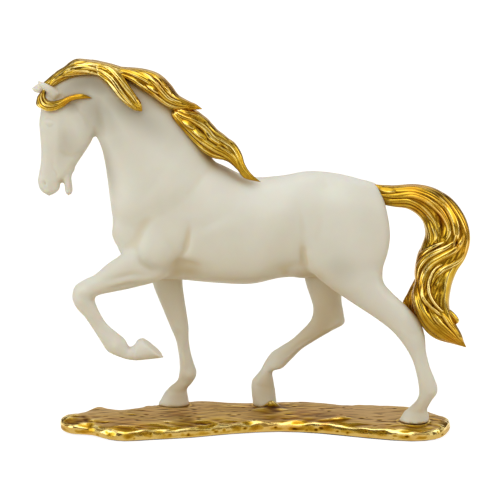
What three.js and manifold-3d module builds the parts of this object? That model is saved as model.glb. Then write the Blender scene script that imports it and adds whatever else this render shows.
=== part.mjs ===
// A walking horse ornament: a white cast resin horse with a gold mane, forelock and tail,
// standing with three hooves on a free-form gold base. Millimetres, +Z up.
// The head points to -X and the near side, where the mane lies, faces -Y.
// The origin is under the middle of the ornament, on the underside of the foam rubber pad.

import * as THREE from 'three';
import { mergeVertices } from 'three/addons/utils/BufferGeometryUtils.js';
import Module from 'manifold-3d';

const wasm = await Module();
wasm.setup();

// Driving dimensions
const WITHERS_HEIGHT = 203; // hoof soles to the withers
const SEAT_GAP = 0.4; // between a gold casting and the resin it hugs, filled with glue
const BORE_GAP = 0.3; // round a pin or stud, and past its ends
const PAD_THICKNESS = 1;
const PAD_INSET = 3;
const BASE_HEIGHT = 10.6; // underside to the flat top that carries the hooves
const BASE_EDGE_HEIGHT = 7.4;
const BASE_EDGE_ROUND = 2.4;
const BASE_SLOPE_WIDTH = 10; // from the rounded edge in to the flat top
const BASE_FOOT_INSET = 1.2;
const STUD_DIAMETER = 3;
const STUD_GRIP = 8.5; // length held in a hoof
const STUD_THREAD_END = 1.4; // thread showing past the nut
const WASHER_DIAMETER = 7;
const WASHER_THICKNESS = 0.5;
const NUT_WIDTH = 5.5; // across flats
const NUT_THICKNESS = 2.4;
const COUNTERBORE_DIAMETER = 9;
const COUNTERBORE_DEPTH = 5.2;
const TAIL_DOWEL_DIAMETER = 4;
const TAIL_DOWEL_LENGTH = 22;
const LOCK_PIN_DIAMETER = 2;
const LOCK_PIN_LENGTH = 8;

// Smoothness
const BODY_SIDES = 16;
const LEG_SIDES = 12;
const LOCK_SIDES = 12;
const TAIL_SIDES = 18;
const ROUND_SIDES = 16;

// The forms below are drawn for withers at 203 mm and follow WITHERS_HEIGHT
const form = WITHERS_HEIGHT / 203;

// One section of a limb, body or lock. Two points of the side view, x then height above the
// hoof soles, then the half width across and the sideways place of the section's middle
const rib = (ax, az, bx, bz, halfWidth, y) => ({
  a: new THREE.Vector3(ax, y, az).multiplyScalar(form),
  b: new THREE.Vector3(bx, y, bz).multiplyScalar(form),
  halfWidth: halfWidth * form,
});

// Back or withers first, chest or belly second
const TRUNK = [
  rib(-99.5, 171, -107, 145, 12, 0),
  rib(-85, 183, -101, 128, 19, 0), // point of the shoulder
  rib(-60, 198, -81, 110, 25, 0),
  rib(-31.5, 202.5, -55, 108, 28.5, 0), // withers
  rib(-2, 190, -29.5, 106.5, 30.5, 0), // girth
  rib(23, 190.5, -0.5, 104, 31, 0),
  rib(43, 194, 24, 107.5, 28.5, 0), // loin
  rib(63, 193, 47, 106, 27.5, 0),
  rib(81.5, 189, 78, 113.5, 25.5, 0), // croup
  rib(95.5, 183.5, 98, 127, 20, 0),
  rib(103.5, 171, 105.5, 141, 12, 0), // rump
];

// Throat side first, crest second
const NECK = [
  rib(-146.5, 243, -150.5, 263.5, 7, 0),
  rib(-131, 232, -136.5, 272.5, 8.5, 0), // poll
  rib(-120.5, 223.5, -116.5, 274, 9.5, 0),
  rib(-115.5, 213.5, -95, 267.5, 11, 0),
  rib(-112.5, 200, -76, 259, 13, 0),
  rib(-110.5, 185, -57, 242, 15.5, 0),
  rib(-109, 169.5, -39.5, 220, 18, 0),
  rib(-107, 155, -26, 201, 20.5, 0),
  rib(-104, 136, -8, 190, 21, 0),
];

// Face first, throat and jowl second
const HEAD = [
  rib(-157.5, 255.5, -141.5, 254, 7.5, 0), // forehead
  rib(-160, 249, -131, 246, 9.5, 0),
  rib(-161, 241.5, -123.5, 238.5, 10.5, 0),
  rib(-162.5, 232, -119.5, 228.5, 10.8, 0), // jowl
  rib(-162, 221.5, -122, 219, 10, 0),
  rib(-161.5, 210.5, -128, 209, 8.2, 0),
  rib(-162, 201, -133.5, 201, 6.8, 0),
  rib(-163.5, 192.5, -139, 192.5, 6.5, 0), // nostrils
  rib(-164.5, 186, -146.5, 187, 6.4, 0),
  rib(-162.5, 179.5, -148.5, 179.5, 5.6, 0), // lips
];
const MUZZLE_TIP = [-156, 174.5, 0];

const LOWER_LIP = [
  rib(-149, 196, -135.5, 196, 5.4, 0),
  rib(-146, 190, -138.5, 190, 4.8, 0),
  rib(-144, 183.5, -138, 183.5, 4.2, 0),
  rib(-143.5, 178, -138, 178, 3.6, 0),
];
const LOWER_LIP_TIP = [-141, 174.5, 0];

const NEAR_EAR = [
  rib(-152, 250.5, -144, 256, 4.2, -5.5),
  rib(-156.5, 253, -151.5, 258.5, 4.2, -6),
  rib(-161.5, 255.5, -158.5, 260, 3, -6.5),
];
const NEAR_EAR_TIP = [-168.5, 260.5, -7];

const FAR_EAR = [
  rib(-150, 250, -142.5, 255.5, 4.2, 5.5),
  rib(-154, 252.5, -149, 258.5, 4.2, 6),
  rib(-158.5, 254.5, -155, 260, 3, 6.5),
];
const FAR_EAR_TIP = [-163.5, 261, 7];

// Front of the limb first, back second
const NEAR_FORELEG = [
  rib(-89, 154, -60.5, 134.5, 12, -14),
  rib(-95.5, 139.5, -70, 116, 13, -15),
  rib(-110, 126, -91, 106.5, 9.5, -19), // forearm
  rib(-120.5, 117, -106.5, 103.5, 7.8, -20),
  rib(-129.5, 112.5, -115.5, 101.5, 7.2, -20),
  rib(-136, 107.5, -120, 99.5, 7.4, -20), // knee
  rib(-138, 98.5, -120.5, 97, 7.2, -20),
  rib(-135, 91, -119.5, 93, 6.4, -20),
  rib(-129, 84, -117, 87, 5.4, -20),
  rib(-121.5, 72, -111.5, 77.5, 4.8, -19), // cannon
  rib(-115.5, 62, -103, 70, 5.2, -19),
  rib(-111.5, 56, -98, 65.5, 6, -19), // fetlock
  rib(-100, 50.5, -94, 59, 5, -19), // pastern
  rib(-94, 49, -90.5, 61.5, 5.8, -19),
  rib(-91, 48.5, -88.5, 64.5, 6.8, -19), // coronet
  rib(-67.5, 51, -84.5, 66.5, 9, -19), // toe and heel of the lifted sole
];

const FAR_FORELEG = [
  rib(-86.5, 136.5, -50.5, 133.5, 12, 12),
  rib(-81.5, 118.5, -51.5, 118.5, 11.5, 14),
  rib(-78, 102.5, -54, 104, 10, 16), // elbow
  rib(-68.5, 77, -51, 77.5, 7.4, 18),
  rib(-63.5, 64, -49.5, 65, 7, 19), // knee
  rib(-60, 55, -49.5, 55, 5.9, 20),
  rib(-58, 44, -48, 44, 5.1, 21), // cannon
  rib(-57, 34, -45.5, 34.5, 5.2, 21.5),
  rib(-57.5, 26, -43.5, 26.5, 5.9, 22), // fetlock
  rib(-59, 20.5, -46.5, 19.5, 5.2, 22), // pastern
  rib(-64.5, 15.5, -51, 14, 6.2, 22),
  rib(-68, 12, -51, 11, 6.9, 22), // coronet
  rib(-75, 0, -49.5, 0, 9, 22), // sole
];

const FAR_HIND_LEG = [
  rib(42.5, 156.5, 97.5, 151, 14, 12),
  rib(40.5, 136, 91, 129.5, 14, 14),
  rib(39, 118, 80, 110, 13, 15), // stifle
  rib(42.5, 102.5, 71.5, 92.5, 11, 17),
  rib(49, 80, 73.5, 75, 7.6, 19),
  rib(47, 70.5, 74, 68.5, 6.8, 20), // hock
  rib(39.5, 61.5, 64, 62, 6, 20.5),
  rib(31.5, 54, 49.5, 53, 5.2, 21),
  rib(23, 48.5, 40, 46.5, 4.9, 21), // cannon
  rib(16, 43.5, 31, 37, 5.2, 21.5),
  rib(11, 36, 25, 31, 5.8, 22), // fetlock
  rib(7, 28.5, 17.5, 28.5, 5.2, 22),
  rib(1, 21, 18, 19.5, 6.2, 22),
  rib(0, 17.5, 19, 14, 6.9, 22), // coronet
  rib(1.5, 0, 20.5, 0, 8.6, 22), // sole
];

const NEAR_HIND_LEG = [
  rib(52, 177, 106, 163.5, 12, -10),
  rib(40.5, 156.5, 107, 146, 14.5, -14),
  rib(40.5, 137, 105, 133, 14.5, -16),
  rib(44, 121.5, 101.5, 121, 13.2, -17), // stifle
  rib(57.5, 109, 102, 111, 11.6, -19),
  rib(72.5, 98.5, 106.5, 105, 9.6, -20), // gaskin
  rib(98.5, 81, 122.5, 89.5, 7.2, -21),
  rib(109, 72.5, 130, 80.5, 6.8, -21.5), // hock
  rib(117, 63, 134, 70, 6.1, -22),
  rib(123.5, 52.5, 135.5, 56.5, 5.2, -22),
  rib(127, 43, 138.5, 44.5, 5, -22), // cannon
  rib(130.5, 24, 145, 25, 6, -22), // fetlock
  rib(129, 17.5, 140.5, 17, 5.4, -22),
  rib(123, 11, 137, 9.5, 6.2, -22),
  rib(120, 8.5, 138, 7, 7, -22), // coronet
  rib(115, 0, 139, 0, 9, -22), // sole
];

// Outer edge of the hair first, inner edge second
const TAIL = [
  rib(97, 184.5, 104.5, 167, 6.5, 0), // root, in the rump
  rib(109.5, 183, 110.5, 165.5, 8, 0),
  rib(122, 184, 119, 164.5, 9.5, 0),
  rib(134.5, 183, 126, 161, 11, 0),
  rib(147, 178.5, 131, 156, 12.5, -1),
  rib(157.5, 170.5, 133.5, 149, 13.5, -2),
  rib(166, 159, 133.5, 141.5, 14, -3),
  rib(170, 143.5, 130.5, 133, 14, -5),
  rib(166.5, 128.5, 127.5, 125, 13.5, -8),
  rib(159.5, 117, 126, 117, 13, -11),
  rib(155, 105, 126, 109.5, 12.5, -14),
  rib(153, 94.5, 123, 101, 12, -17),
  rib(153.5, 87.5, 125, 89, 11, -20),
  rib(158.5, 77.5, 132, 75, 9, -22),
  rib(163.5, 69.5, 141, 67, 7, -23),
];
const TAIL_TIP = [166.5, 60, -24];

// A strand of the tail that hangs on the far side of the near hock
const TAIL_FAR_STRAND = [
  rib(140, 122, 128, 116, 5, -8),
  rib(135, 111, 122.5, 106, 5.5, -8.5),
  rib(131, 101, 118.5, 97.5, 5.5, -8.5),
];
const TAIL_FAR_STRAND_TIP = [118, 88, -9];

const CREST_RIDGE = [
  rib(-156, 265, -153, 259.5, 4, -1),
  rib(-151, 270, -147.5, 262.5, 6, -1),
  rib(-143.5, 275, -140.5, 264.5, 8, -1),
  rib(-134, 281, -132, 267, 9.5, -1),
  rib(-124, 281, -123, 268, 10, -1),
  rib(-113.5, 279, -115, 267, 10, -1),
  rib(-101.5, 276.5, -106, 265, 9.5, -2),
  rib(-90, 274.5, -94, 266.5, 8, -2),
];

const HANGING_LOCK = [
  rib(-119.5, 279, -116.5, 268.5, 5, -6),
  rib(-108.5, 277, -110, 264.5, 5, -9),
  rib(-100, 271.5, -105.5, 259.5, 4.6, -12),
  rib(-94.5, 262, -100, 253.5, 4.3, -14),
  rib(-88.5, 254, -94, 248, 3.6, -15.5),
];
const HANGING_LOCK_TIP = [-83.5, 243.5, -16.5];

const MIDDLE_LOCK = [
  rib(-104, 276, -101.5, 266, 8, -2),
  rib(-92, 275, -93.5, 265, 9.5, -2),
  rib(-78.5, 273, -84, 259, 10.5, -3),
  rib(-68.5, 269, -75, 253.5, 11, -3.5),
  rib(-61, 261.5, -68, 248, 11, -4),
  rib(-55.5, 254.5, -61.5, 243, 9.5, -5),
  rib(-48.5, 250.5, -53.5, 241.5, 7, -6),
  rib(-41.5, 247.5, -44, 242.5, 4, -6.5),
];
const MIDDLE_LOCK_TIP = [-37, 243.5, -7];

const REAR_LOCK = [
  rib(-54, 243.5, -60, 237, 9, -4),
  rib(-41, 241, -55, 230, 11, -4),
  rib(-32.5, 235, -50, 223, 11.5, -4),
  rib(-26.5, 227.5, -44, 217, 11.5, -5),
  rib(-19, 222, -38, 210, 11, -6),
  rib(-12, 217, -30.5, 204, 9, -7.5),
  rib(-7, 209.5, -19, 202, 7, -9),
  rib(-4.5, 202, -11, 197, 5.2, -11),
  rib(-0.5, 196, -6, 191, 4, -13),
];
const REAR_LOCK_TIP = [7.5, 188.5, -15.5];

const FORELOCK = [
  rib(-160, 258, -152, 262, 5, 0),
  rib(-164, 252, -156.5, 255, 5.4, -2),
  rib(-164, 247, -154.5, 252, 5.2, -5.5),
  rib(-158, 243.5, -150.5, 251.5, 4.4, -8.5),
  rib(-149.5, 243.5, -146, 252, 4, -10.5),
  rib(-142.5, 246, -140.5, 253, 3.2, -10.8),
  rib(-133, 250.5, -133.5, 255, 2.6, -10.8),
];
const FORELOCK_TIP = [-123.5, 252.5, -10];

// Pins that hold each lock: a point on the crest and the way from the crest into the lock
const CREST_PINS = [
  { point: [-136, 271, 0], way: [-0.15, 1, 0] },
  { point: [-118, 272.5, 0], way: [0, 1, 0] },
];
const MIDDLE_LOCK_PINS = [
  { point: [-86, 263, 0], way: [0.35, 1, 0] },
  { point: [-68, 251, 0], way: [0.5, 1, 0] },
];
const REAR_LOCK_PINS = [
  { point: [-48, 231, 0], way: [1, 0.8, 0] },
  { point: [-34, 213, 0], way: [1, 0.7, 0] },
];
const FORELOCK_PINS = [{ point: [-157, 252.5, 0], way: [-1, 0.6, -0.3] }];
const TAIL_DOWEL_POINT = [103.5, 175, 0];

// Outline of the base seen from above, front edge from left to right and back along the far edge
const BASE_OUTLINE = [
  [-151, 0], [-148, -11], [-140, -20], [-124, -25], [-113, -36], [-100, -40.5], [-78, -37],
  [-47, -31.5], [-16, -22.5], [23, -16.5], [55, -20.5], [93, -33], [127, -40.5], [146, -35],
  [155, -19], [157, -5], [149, 7], [125, 27], [100, 33], [76, 34], [56, 40], [20, 40.5],
  [-20, 38.5], [-49, 40.5], [-76, 35], [-96, 25], [-109, 18], [-119, 21], [-129, 16], [-140, 4],
];
const BASE_OUTLINE_STEPS = 2; // samples for each outline point
const BASE_SPINE_HALF = 122; // where the outline's inner rings close up

// Materials
const whiteResin = new THREE.MeshStandardMaterial({ color: 0xf0ece0, roughness: 0.4, metalness: 0 });
const gold = new THREE.MeshStandardMaterial({ color: 0xd9a33a, roughness: 0.25, metalness: 1 });
const steel = new THREE.MeshStandardMaterial({ color: 0xb8bcc0, roughness: 0.35, metalness: 1 });
const foamRubber = new THREE.MeshStandardMaterial({ color: 0x202122, roughness: 0.9, metalness: 0 });

// A point of the side view and its sideways place, in the horse's frame
const place = ([x, height, y]) => new THREE.Vector3(x, y, height).multiplyScalar(form);

// Closed solids and boolean work

function solidOf(geometry) {
  const bare = geometry.clone();
  bare.deleteAttribute('normal');
  bare.deleteAttribute('uv');
  const merged = mergeVertices(bare, 1e-4);
  return new wasm.Manifold(
    new wasm.Mesh({
      numProp: 3,
      vertProperties: new Float32Array(merged.attributes.position.array),
      triVerts: new Uint32Array(merged.index.array),
    }),
  );
}

function geometryOf(solid) {
  const mesh = solid.getMesh();
  const geometry = new THREE.BufferGeometry();
  geometry.setAttribute('position', new THREE.BufferAttribute(mesh.vertProperties, 3));
  geometry.setIndex(new THREE.BufferAttribute(mesh.triVerts, 1));
  geometry.computeVertexNormals();
  return geometry;
}

const joined = (solids) => solids.reduce((whole, part) => whole.add(part));
const cut = (solid, tools) => tools.reduce((rest, tool) => rest.subtract(tool), solid);

// A cut can free a sliver, which is dropped
function largestBody(solid) {
  return solid.decompose().reduce((best, body) => (body.volume() > best.volume() ? body : best));
}

// Surfaces through rings of points

// Triangles between equal rings, with a fan to one point at each end
function skin(rings, startPoint, endPoint) {
  const sides = rings[0].length;
  const points = [...rings.flat(), startPoint, endPoint];
  const start = rings.length * sides;
  const index = [];
  for (let i = 0; i < sides; i++) {
    const j = (i + 1) % sides;
    index.push(start, j, i);
    for (let r = 0; r + 1 < rings.length; r++) {
      const low = r * sides;
      const high = low + sides;
      index.push(low + i, low + j, high + j, low + i, high + j, high + i);
    }
    const last = start - sides;
    index.push(last + i, last + j, start + 1);
  }
  const geometry = new THREE.BufferGeometry().setFromPoints(points);
  geometry.setIndex(signedVolume(points, index) > 0 ? index : index.reverse());
  return geometry;
}

function signedVolume(points, index) {
  let six = 0;
  for (let t = 0; t < index.length; t += 3) {
    const [p, q, r] = [points[index[t]], points[index[t + 1]], points[index[t + 2]]];
    six += p.dot(new THREE.Vector3().crossVectors(q, r));
  }
  return six;
}

// A smooth limb, body or lock through its ribs. A squareness over 2 gives fuller sides, grow
// swells it all round, and a tip closes the far end at a point
function loft(ribs, { sides = LEG_SIDES, steps = 1, squareness = 2, tip, grow = 0 } = {}) {
  const edgeA = new THREE.CatmullRomCurve3(ribs.map((r) => r.a));
  const edgeB = new THREE.CatmullRomCurve3(ribs.map((r) => r.b));
  const widths = new THREE.CatmullRomCurve3(ribs.map((r) => new THREE.Vector3(r.halfWidth, 0, 0)));
  const count = (ribs.length - 1) * steps;
  const rings = [];
  for (let k = 0; k <= count; k++) {
    const a = edgeA.getPoint(k / count);
    const b = edgeB.getPoint(k / count);
    const middle = a.clone().add(b).multiplyScalar(0.5);
    const half = a.clone().sub(middle);
    half.setLength(half.length() + grow);
    const halfWidth = widths.getPoint(k / count).x + grow;
    rings.push(ring(middle, half, new THREE.Vector3(0, halfWidth, 0), sides, squareness));
  }
  return skin(rings, middleOf(rings[0]), tip ? grownTip(tip, rings, grow) : middleOf(rings.at(-1)));
}

function ring(middle, half, across, sides, squareness) {
  const bulge = (value) => Math.sign(value) * Math.abs(value) ** (2 / squareness);
  return Array.from({ length: sides }, (_, i) => {
    const angle = (2 * Math.PI * i) / sides;
    return middle
      .clone()
      .addScaledVector(half, bulge(Math.cos(angle)))
      .addScaledVector(across, bulge(Math.sin(angle)));
  });
}

const middleOf = (points) =>
  points.reduce((sum, point) => sum.add(point), new THREE.Vector3()).divideScalar(points.length);

function grownTip(tip, rings, grow) {
  const point = place(tip);
  const out = point.clone().sub(middleOf(rings.at(-1))).setLength(grow);
  return point.add(out);
}

// The horse

function horseSolid(grow) {
  const body = { sides: BODY_SIDES, steps: 2, grow };
  const leg = { sides: LEG_SIDES, steps: 2, grow };
  return joined(
    [
      loft(TRUNK, body),
      loft(NECK, body),
      loft(HEAD, { ...body, tip: MUZZLE_TIP }),
      loft(LOWER_LIP, { ...leg, tip: LOWER_LIP_TIP }),
      loft(NEAR_EAR, { ...leg, tip: NEAR_EAR_TIP }),
      loft(FAR_EAR, { ...leg, tip: FAR_EAR_TIP }),
      loft(NEAR_FORELEG, leg),
      loft(FAR_FORELEG, leg),
      loft(FAR_HIND_LEG, leg),
      loft(NEAR_HIND_LEG, leg),
    ].map(solidOf),
  );
}

// The base

const baseSpline = new THREE.CatmullRomCurve3(
  BASE_OUTLINE.map(([x, y]) => new THREE.Vector3(x, y, 0).multiplyScalar(form)),
  true,
);

// The outline moved in toward the spine by an inset and lifted to a height
function baseRing(inset, height) {
  const count = BASE_OUTLINE.length * BASE_OUTLINE_STEPS;
  return Array.from({ length: count }, (_, i) => {
    const point = baseSpline.getPoint(i / count);
    const spineX = (point.x * BASE_SPINE_HALF) / BASE_OUTLINE_REACH;
    const inward = new THREE.Vector3(spineX, 0, 0).sub(point).setLength(inset);
    return point.add(inward).setZ(height);
  });
}
const BASE_OUTLINE_REACH = Math.max(...BASE_OUTLINE.flat().map(Math.abs));

// A closed slab through rings, closed by flat faces below and above
function slab(rings) {
  const sides = rings[0].length;
  const index = [];
  for (let r = 0; r + 1 < rings.length; r++) {
    for (let i = 0; i < sides; i++) {
      const j = (i + 1) % sides;
      const low = r * sides;
      const high = low + sides;
      index.push(low + i, low + j, high + j, low + i, high + j, high + i);
    }
  }
  const top = (rings.length - 1) * sides;
  for (const [a, b, c] of THREE.ShapeUtils.triangulateShape(rings.at(-1), [])) {
    index.push(top + a, top + b, top + c);
  }
  for (const [a, b, c] of THREE.ShapeUtils.triangulateShape(rings[0], [])) {
    index.push(a, c, b);
  }
  const points = rings.flat();
  const geometry = new THREE.BufferGeometry().setFromPoints(points);
  geometry.setIndex(signedVolume(points, index) > 0 ? index : index.reverse());
  return geometry;
}

function baseSlab() {
  return slab([
    baseRing(BASE_FOOT_INSET, 0),
    baseRing(0, BASE_EDGE_HEIGHT * 0.35),
    baseRing(0, BASE_EDGE_HEIGHT - BASE_EDGE_ROUND),
    baseRing(BASE_EDGE_ROUND, BASE_EDGE_HEIGHT),
    baseRing(BASE_EDGE_ROUND + BASE_SLOPE_WIDTH, BASE_HEIGHT),
  ]);
}

// Fasteners

const rod = (diameter, length) =>
  new THREE.CylinderGeometry(diameter / 2, diameter / 2, length, ROUND_SIDES).rotateX(Math.PI / 2);

// The turn that points a rod's own length along a way
const turnTo = (way) =>
  new THREE.Quaternion().setFromUnitVectors(new THREE.Vector3(0, 0, 1), way.clone().normalize());

// A ring or a nut: an outer outline with a round hole, resting on z = 0
function punched(outline, holeDiameter, thickness) {
  outline.holes.push(new THREE.Path().absarc(0, 0, holeDiameter / 2, 0, 2 * Math.PI, true));
  const settings = { depth: thickness, bevelEnabled: false, curveSegments: ROUND_SIDES };
  return new THREE.ExtrudeGeometry(outline, settings);
}

function hexagon(acrossFlats) {
  const corner = acrossFlats / Math.sqrt(3);
  const points = Array.from({ length: 6 }, (_, i) => {
    const angle = (i * Math.PI) / 3;
    return new THREE.Vector2(corner * Math.cos(angle), corner * Math.sin(angle));
  });
  return new THREE.Shape(points);
}

const disc = (diameter) => new THREE.Shape().absarc(0, 0, diameter / 2, 0, 2 * Math.PI);

// The middle of a standing hoof's sole
function soleMiddle(leg) {
  const sole = leg.at(-1);
  return sole.a.clone().add(sole.b).multiplyScalar(0.5);
}

const STANDING_HOOVES = {
  far_fore: soleMiddle(FAR_FORELEG),
  far_hind: soleMiddle(FAR_HIND_LEG),
  near_hind: soleMiddle(NEAR_HIND_LEG),
};

// Heights below are from the hoof soles, where the horse's own frame starts
const counterboreTop = -BASE_HEIGHT + COUNTERBORE_DEPTH;
const washerBottom = counterboreTop - WASHER_THICKNESS;
const nutBottom = washerBottom - NUT_THICKNESS;
const studBottom = nutBottom - STUD_THREAD_END;
const studLength = STUD_GRIP - studBottom;

function pieces() {
  const list = [];
  const add = (name, geometry, material, position, way) => {
    const mesh = new THREE.Mesh(geometry, material);
    mesh.name = name;
    if (position) mesh.position.copy(position);
    if (way) mesh.quaternion.copy(turnTo(way));
    list.push(mesh);
  };
  // A bore for a rod, longer by a gap at each end
  const bore = (diameter, length, position, way) =>
    solidOf(
      rod(diameter + 2 * BORE_GAP, length + 2 * BORE_GAP)
        .applyQuaternion(turnTo(way))
        .translate(position.x, position.y, position.z),
    );
  const up = new THREE.Vector3(0, 0, 1);
  const back = new THREE.Vector3(1, 0, 0);
  const horseBores = [];

  // Studs, washers and nuts through the base
  const baseBores = [];
  for (const [name, sole] of Object.entries(STANDING_HOOVES)) {
    const middle = sole.clone().setZ(studBottom + studLength / 2);
    add(`${name}_stud`, rod(STUD_DIAMETER, studLength), steel, middle, up);
    const hole = STUD_DIAMETER + 2 * BORE_GAP;
    const washer = punched(disc(WASHER_DIAMETER), hole, WASHER_THICKNESS);
    add(`${name}_washer`, washer, steel, sole.clone().setZ(washerBottom));
    const nut = punched(hexagon(NUT_WIDTH), hole, NUT_THICKNESS);
    add(`${name}_nut`, nut, steel, sole.clone().setZ(nutBottom));
    const studBore = bore(STUD_DIAMETER, studLength, middle, up);
    horseBores.push(studBore);
    baseBores.push(studBore);
    const counterbore = rod(COUNTERBORE_DIAMETER, 2 * COUNTERBORE_DEPTH);
    baseBores.push(solidOf(counterbore.translate(sole.x, sole.y, -BASE_HEIGHT)));
  }

  // The dowel that holds the tail
  const dowelMiddle = place(TAIL_DOWEL_POINT);
  add('tail_dowel', rod(TAIL_DOWEL_DIAMETER, TAIL_DOWEL_LENGTH), steel, dowelMiddle, back);
  const dowelBore = bore(TAIL_DOWEL_DIAMETER, TAIL_DOWEL_LENGTH, dowelMiddle, back);
  horseBores.push(dowelBore);

  // The gold castings, each cut to clear the horse, its pins and the lock before it
  const grownHorse = horseSolid(SEAT_GAP);
  const pinned = (name, pins) =>
    pins.map(({ point, way }, i) => {
      const middle = place(point);
      const direction = place(way).normalize();
      const pinName = pins.length > 1 ? `${name}_pin_${i + 1}` : `${name}_pin`;
      add(pinName, rod(LOCK_PIN_DIAMETER, LOCK_PIN_LENGTH), steel, middle, direction);
      const pinBore = bore(LOCK_PIN_DIAMETER, LOCK_PIN_LENGTH, middle, direction);
      horseBores.push(pinBore);
      return pinBore;
    });
  const hair = (ribs, tip, grow = 0) =>
    solidOf(loft(ribs, { sides: LOCK_SIDES, steps: 2, squareness: 3, tip, grow }));

  const crestOf = (grow) =>
    hair(CREST_RIDGE, undefined, grow).add(hair(HANGING_LOCK, HANGING_LOCK_TIP, grow));
  const crestCuts = [grownHorse, ...pinned('crest_lock', CREST_PINS)];
  add('crest_lock', geometryOf(largestBody(cut(crestOf(0), crestCuts))), gold);

  const middleCuts = [grownHorse, crestOf(SEAT_GAP), ...pinned('middle_lock', MIDDLE_LOCK_PINS)];
  const middleLock = cut(hair(MIDDLE_LOCK, MIDDLE_LOCK_TIP), middleCuts);
  add('middle_lock', geometryOf(largestBody(middleLock)), gold);

  const middleGrown = hair(MIDDLE_LOCK, MIDDLE_LOCK_TIP, SEAT_GAP);
  const rearCuts = [grownHorse, middleGrown, ...pinned('rear_lock', REAR_LOCK_PINS)];
  const rearLock = cut(hair(REAR_LOCK, REAR_LOCK_TIP), rearCuts);
  add('rear_lock', geometryOf(largestBody(rearLock)), gold);

  const foreCuts = [grownHorse, crestOf(SEAT_GAP), ...pinned('forelock', FORELOCK_PINS)];
  const forelock = cut(hair(FORELOCK, FORELOCK_TIP), foreCuts);
  add('forelock', geometryOf(largestBody(forelock)), gold);

  const tailLoft = loft(TAIL, { sides: TAIL_SIDES, steps: 2, squareness: 2.4, tip: TAIL_TIP });
  const wholeTail = solidOf(tailLoft).add(hair(TAIL_FAR_STRAND, TAIL_FAR_STRAND_TIP));
  add('tail', geometryOf(largestBody(cut(wholeTail, [grownHorse, dowelBore]))), gold);

  add('horse_body', geometryOf(largestBody(cut(horseSolid(0), horseBores))), whiteResin);

  const base = solidOf(baseSlab().translate(0, 0, -BASE_HEIGHT));
  add('base', geometryOf(cut(base, baseBores)), gold);

  const padInset = BASE_FOOT_INSET + PAD_INSET;
  const pad = slab([baseRing(padInset, 0), baseRing(padInset, PAD_THICKNESS)]);
  add('base_pad', pad, foamRubber, new THREE.Vector3(0, 0, -BASE_HEIGHT - PAD_THICKNESS));
  return list;
}

// The whole ornament, with its origin under the middle of its bounding box
const figure = new THREE.Group();
figure.add(...pieces());
figure.position.z = PAD_THICKNESS + BASE_HEIGHT;
const middle = new THREE.Box3().setFromObject(figure).getCenter(new THREE.Vector3());
figure.position.x = -middle.x;
figure.position.y = -middle.y;

const ornament = new THREE.Group();
ornament.add(figure);
export default ornament;
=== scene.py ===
# %% [markdown]
# # A walking horse ornament
# A white cast resin horse with a gold mane, forelock and tail walks on a free-form gold base.
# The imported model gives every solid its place, and this lesson dresses those solids: each visible
# surface is worked out as a numpy grid, put into a mesh, and given a material made of nodes.

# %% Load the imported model
import math

import bmesh
import bpy
import numpy as np
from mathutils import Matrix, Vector


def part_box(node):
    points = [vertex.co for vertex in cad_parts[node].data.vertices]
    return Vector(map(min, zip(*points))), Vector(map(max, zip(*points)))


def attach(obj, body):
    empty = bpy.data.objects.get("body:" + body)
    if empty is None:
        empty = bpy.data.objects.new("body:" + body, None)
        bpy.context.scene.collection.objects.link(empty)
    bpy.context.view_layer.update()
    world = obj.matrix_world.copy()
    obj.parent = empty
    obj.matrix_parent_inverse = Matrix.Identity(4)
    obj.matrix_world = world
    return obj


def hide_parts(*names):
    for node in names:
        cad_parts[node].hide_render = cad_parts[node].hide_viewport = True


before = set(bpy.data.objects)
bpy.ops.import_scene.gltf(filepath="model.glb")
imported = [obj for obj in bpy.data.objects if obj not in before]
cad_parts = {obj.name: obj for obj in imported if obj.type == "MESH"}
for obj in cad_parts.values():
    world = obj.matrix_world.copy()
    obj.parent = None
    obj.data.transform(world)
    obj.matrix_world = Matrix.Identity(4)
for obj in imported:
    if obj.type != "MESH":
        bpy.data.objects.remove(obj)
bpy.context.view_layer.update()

# %% [markdown]
# The forms below are written in millimetres in the horse's own frame: x along the horse, with the
# head at minus x, y across it, with the near side at minus y, and z up from the hoof soles. The
# tail's dowel is in both frames, so the difference of its two places moves one into the other.

# %% The horse's own frame
DOWEL_MIDDLE = Vector((103.5, 0.0, 175.0))
MM = 0.001

dowel_low, dowel_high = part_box("tail_dowel")
HORSE_ORIGIN = np.array((dowel_low + dowel_high) / 2 - DOWEL_MIDDLE * MM)
SOLE_HEIGHT = HORSE_ORIGIN[2] / MM
print("horse frame at", HORSE_ORIGIN, "soles above the floor by", round(SOLE_HEIGHT, 2), "mm")


def in_metres(points):
    """Millimetre points of the horse's frame as metres of the model's frame."""
    return HORSE_ORIGIN + np.asarray(points, dtype=float) * MM


# %% [markdown]
# The photograph was taken from a little above the horse's back, from far away with a long lens,
# so that near and far legs stand at almost the same size. A camera 1.6 m away that looks down by
# about 12.6 degrees gives the same spacing of the hooves.

# %% Camera
CAMERA_DISTANCE = 1.6
CAMERA_HEIGHT = 0.50017
CAMERA_PITCH = 12.563
CAMERA_LENS = 151.95
CAMERA_SIDESTEP = -0.00095

camera_data = bpy.data.cameras.new("photo_camera")
camera_data.lens = CAMERA_LENS
camera_data.sensor_width = 36.0
camera_data.clip_end = 20.0
camera = bpy.data.objects.new("photo_camera", camera_data)
bpy.context.collection.objects.link(camera)
camera.location = (
    HORSE_ORIGIN[0] + CAMERA_SIDESTEP,
    HORSE_ORIGIN[1] - CAMERA_DISTANCE,
    CAMERA_HEIGHT,
)
camera.rotation_euler = (math.radians(90.0 - CAMERA_PITCH), 0.0, 0.0)
bpy.context.scene.camera = camera
print("camera at", tuple(round(value, 4) for value in camera.location))

# %% [markdown]
# Every look is a tree of nodes. Each function here makes one node and returns its output, and an
# output may stand wherever a plain value may, so that a look reads like a formula.

# %% Nodes as functions
NODE_COLUMN = -240
NODE_ROW = -260


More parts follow.
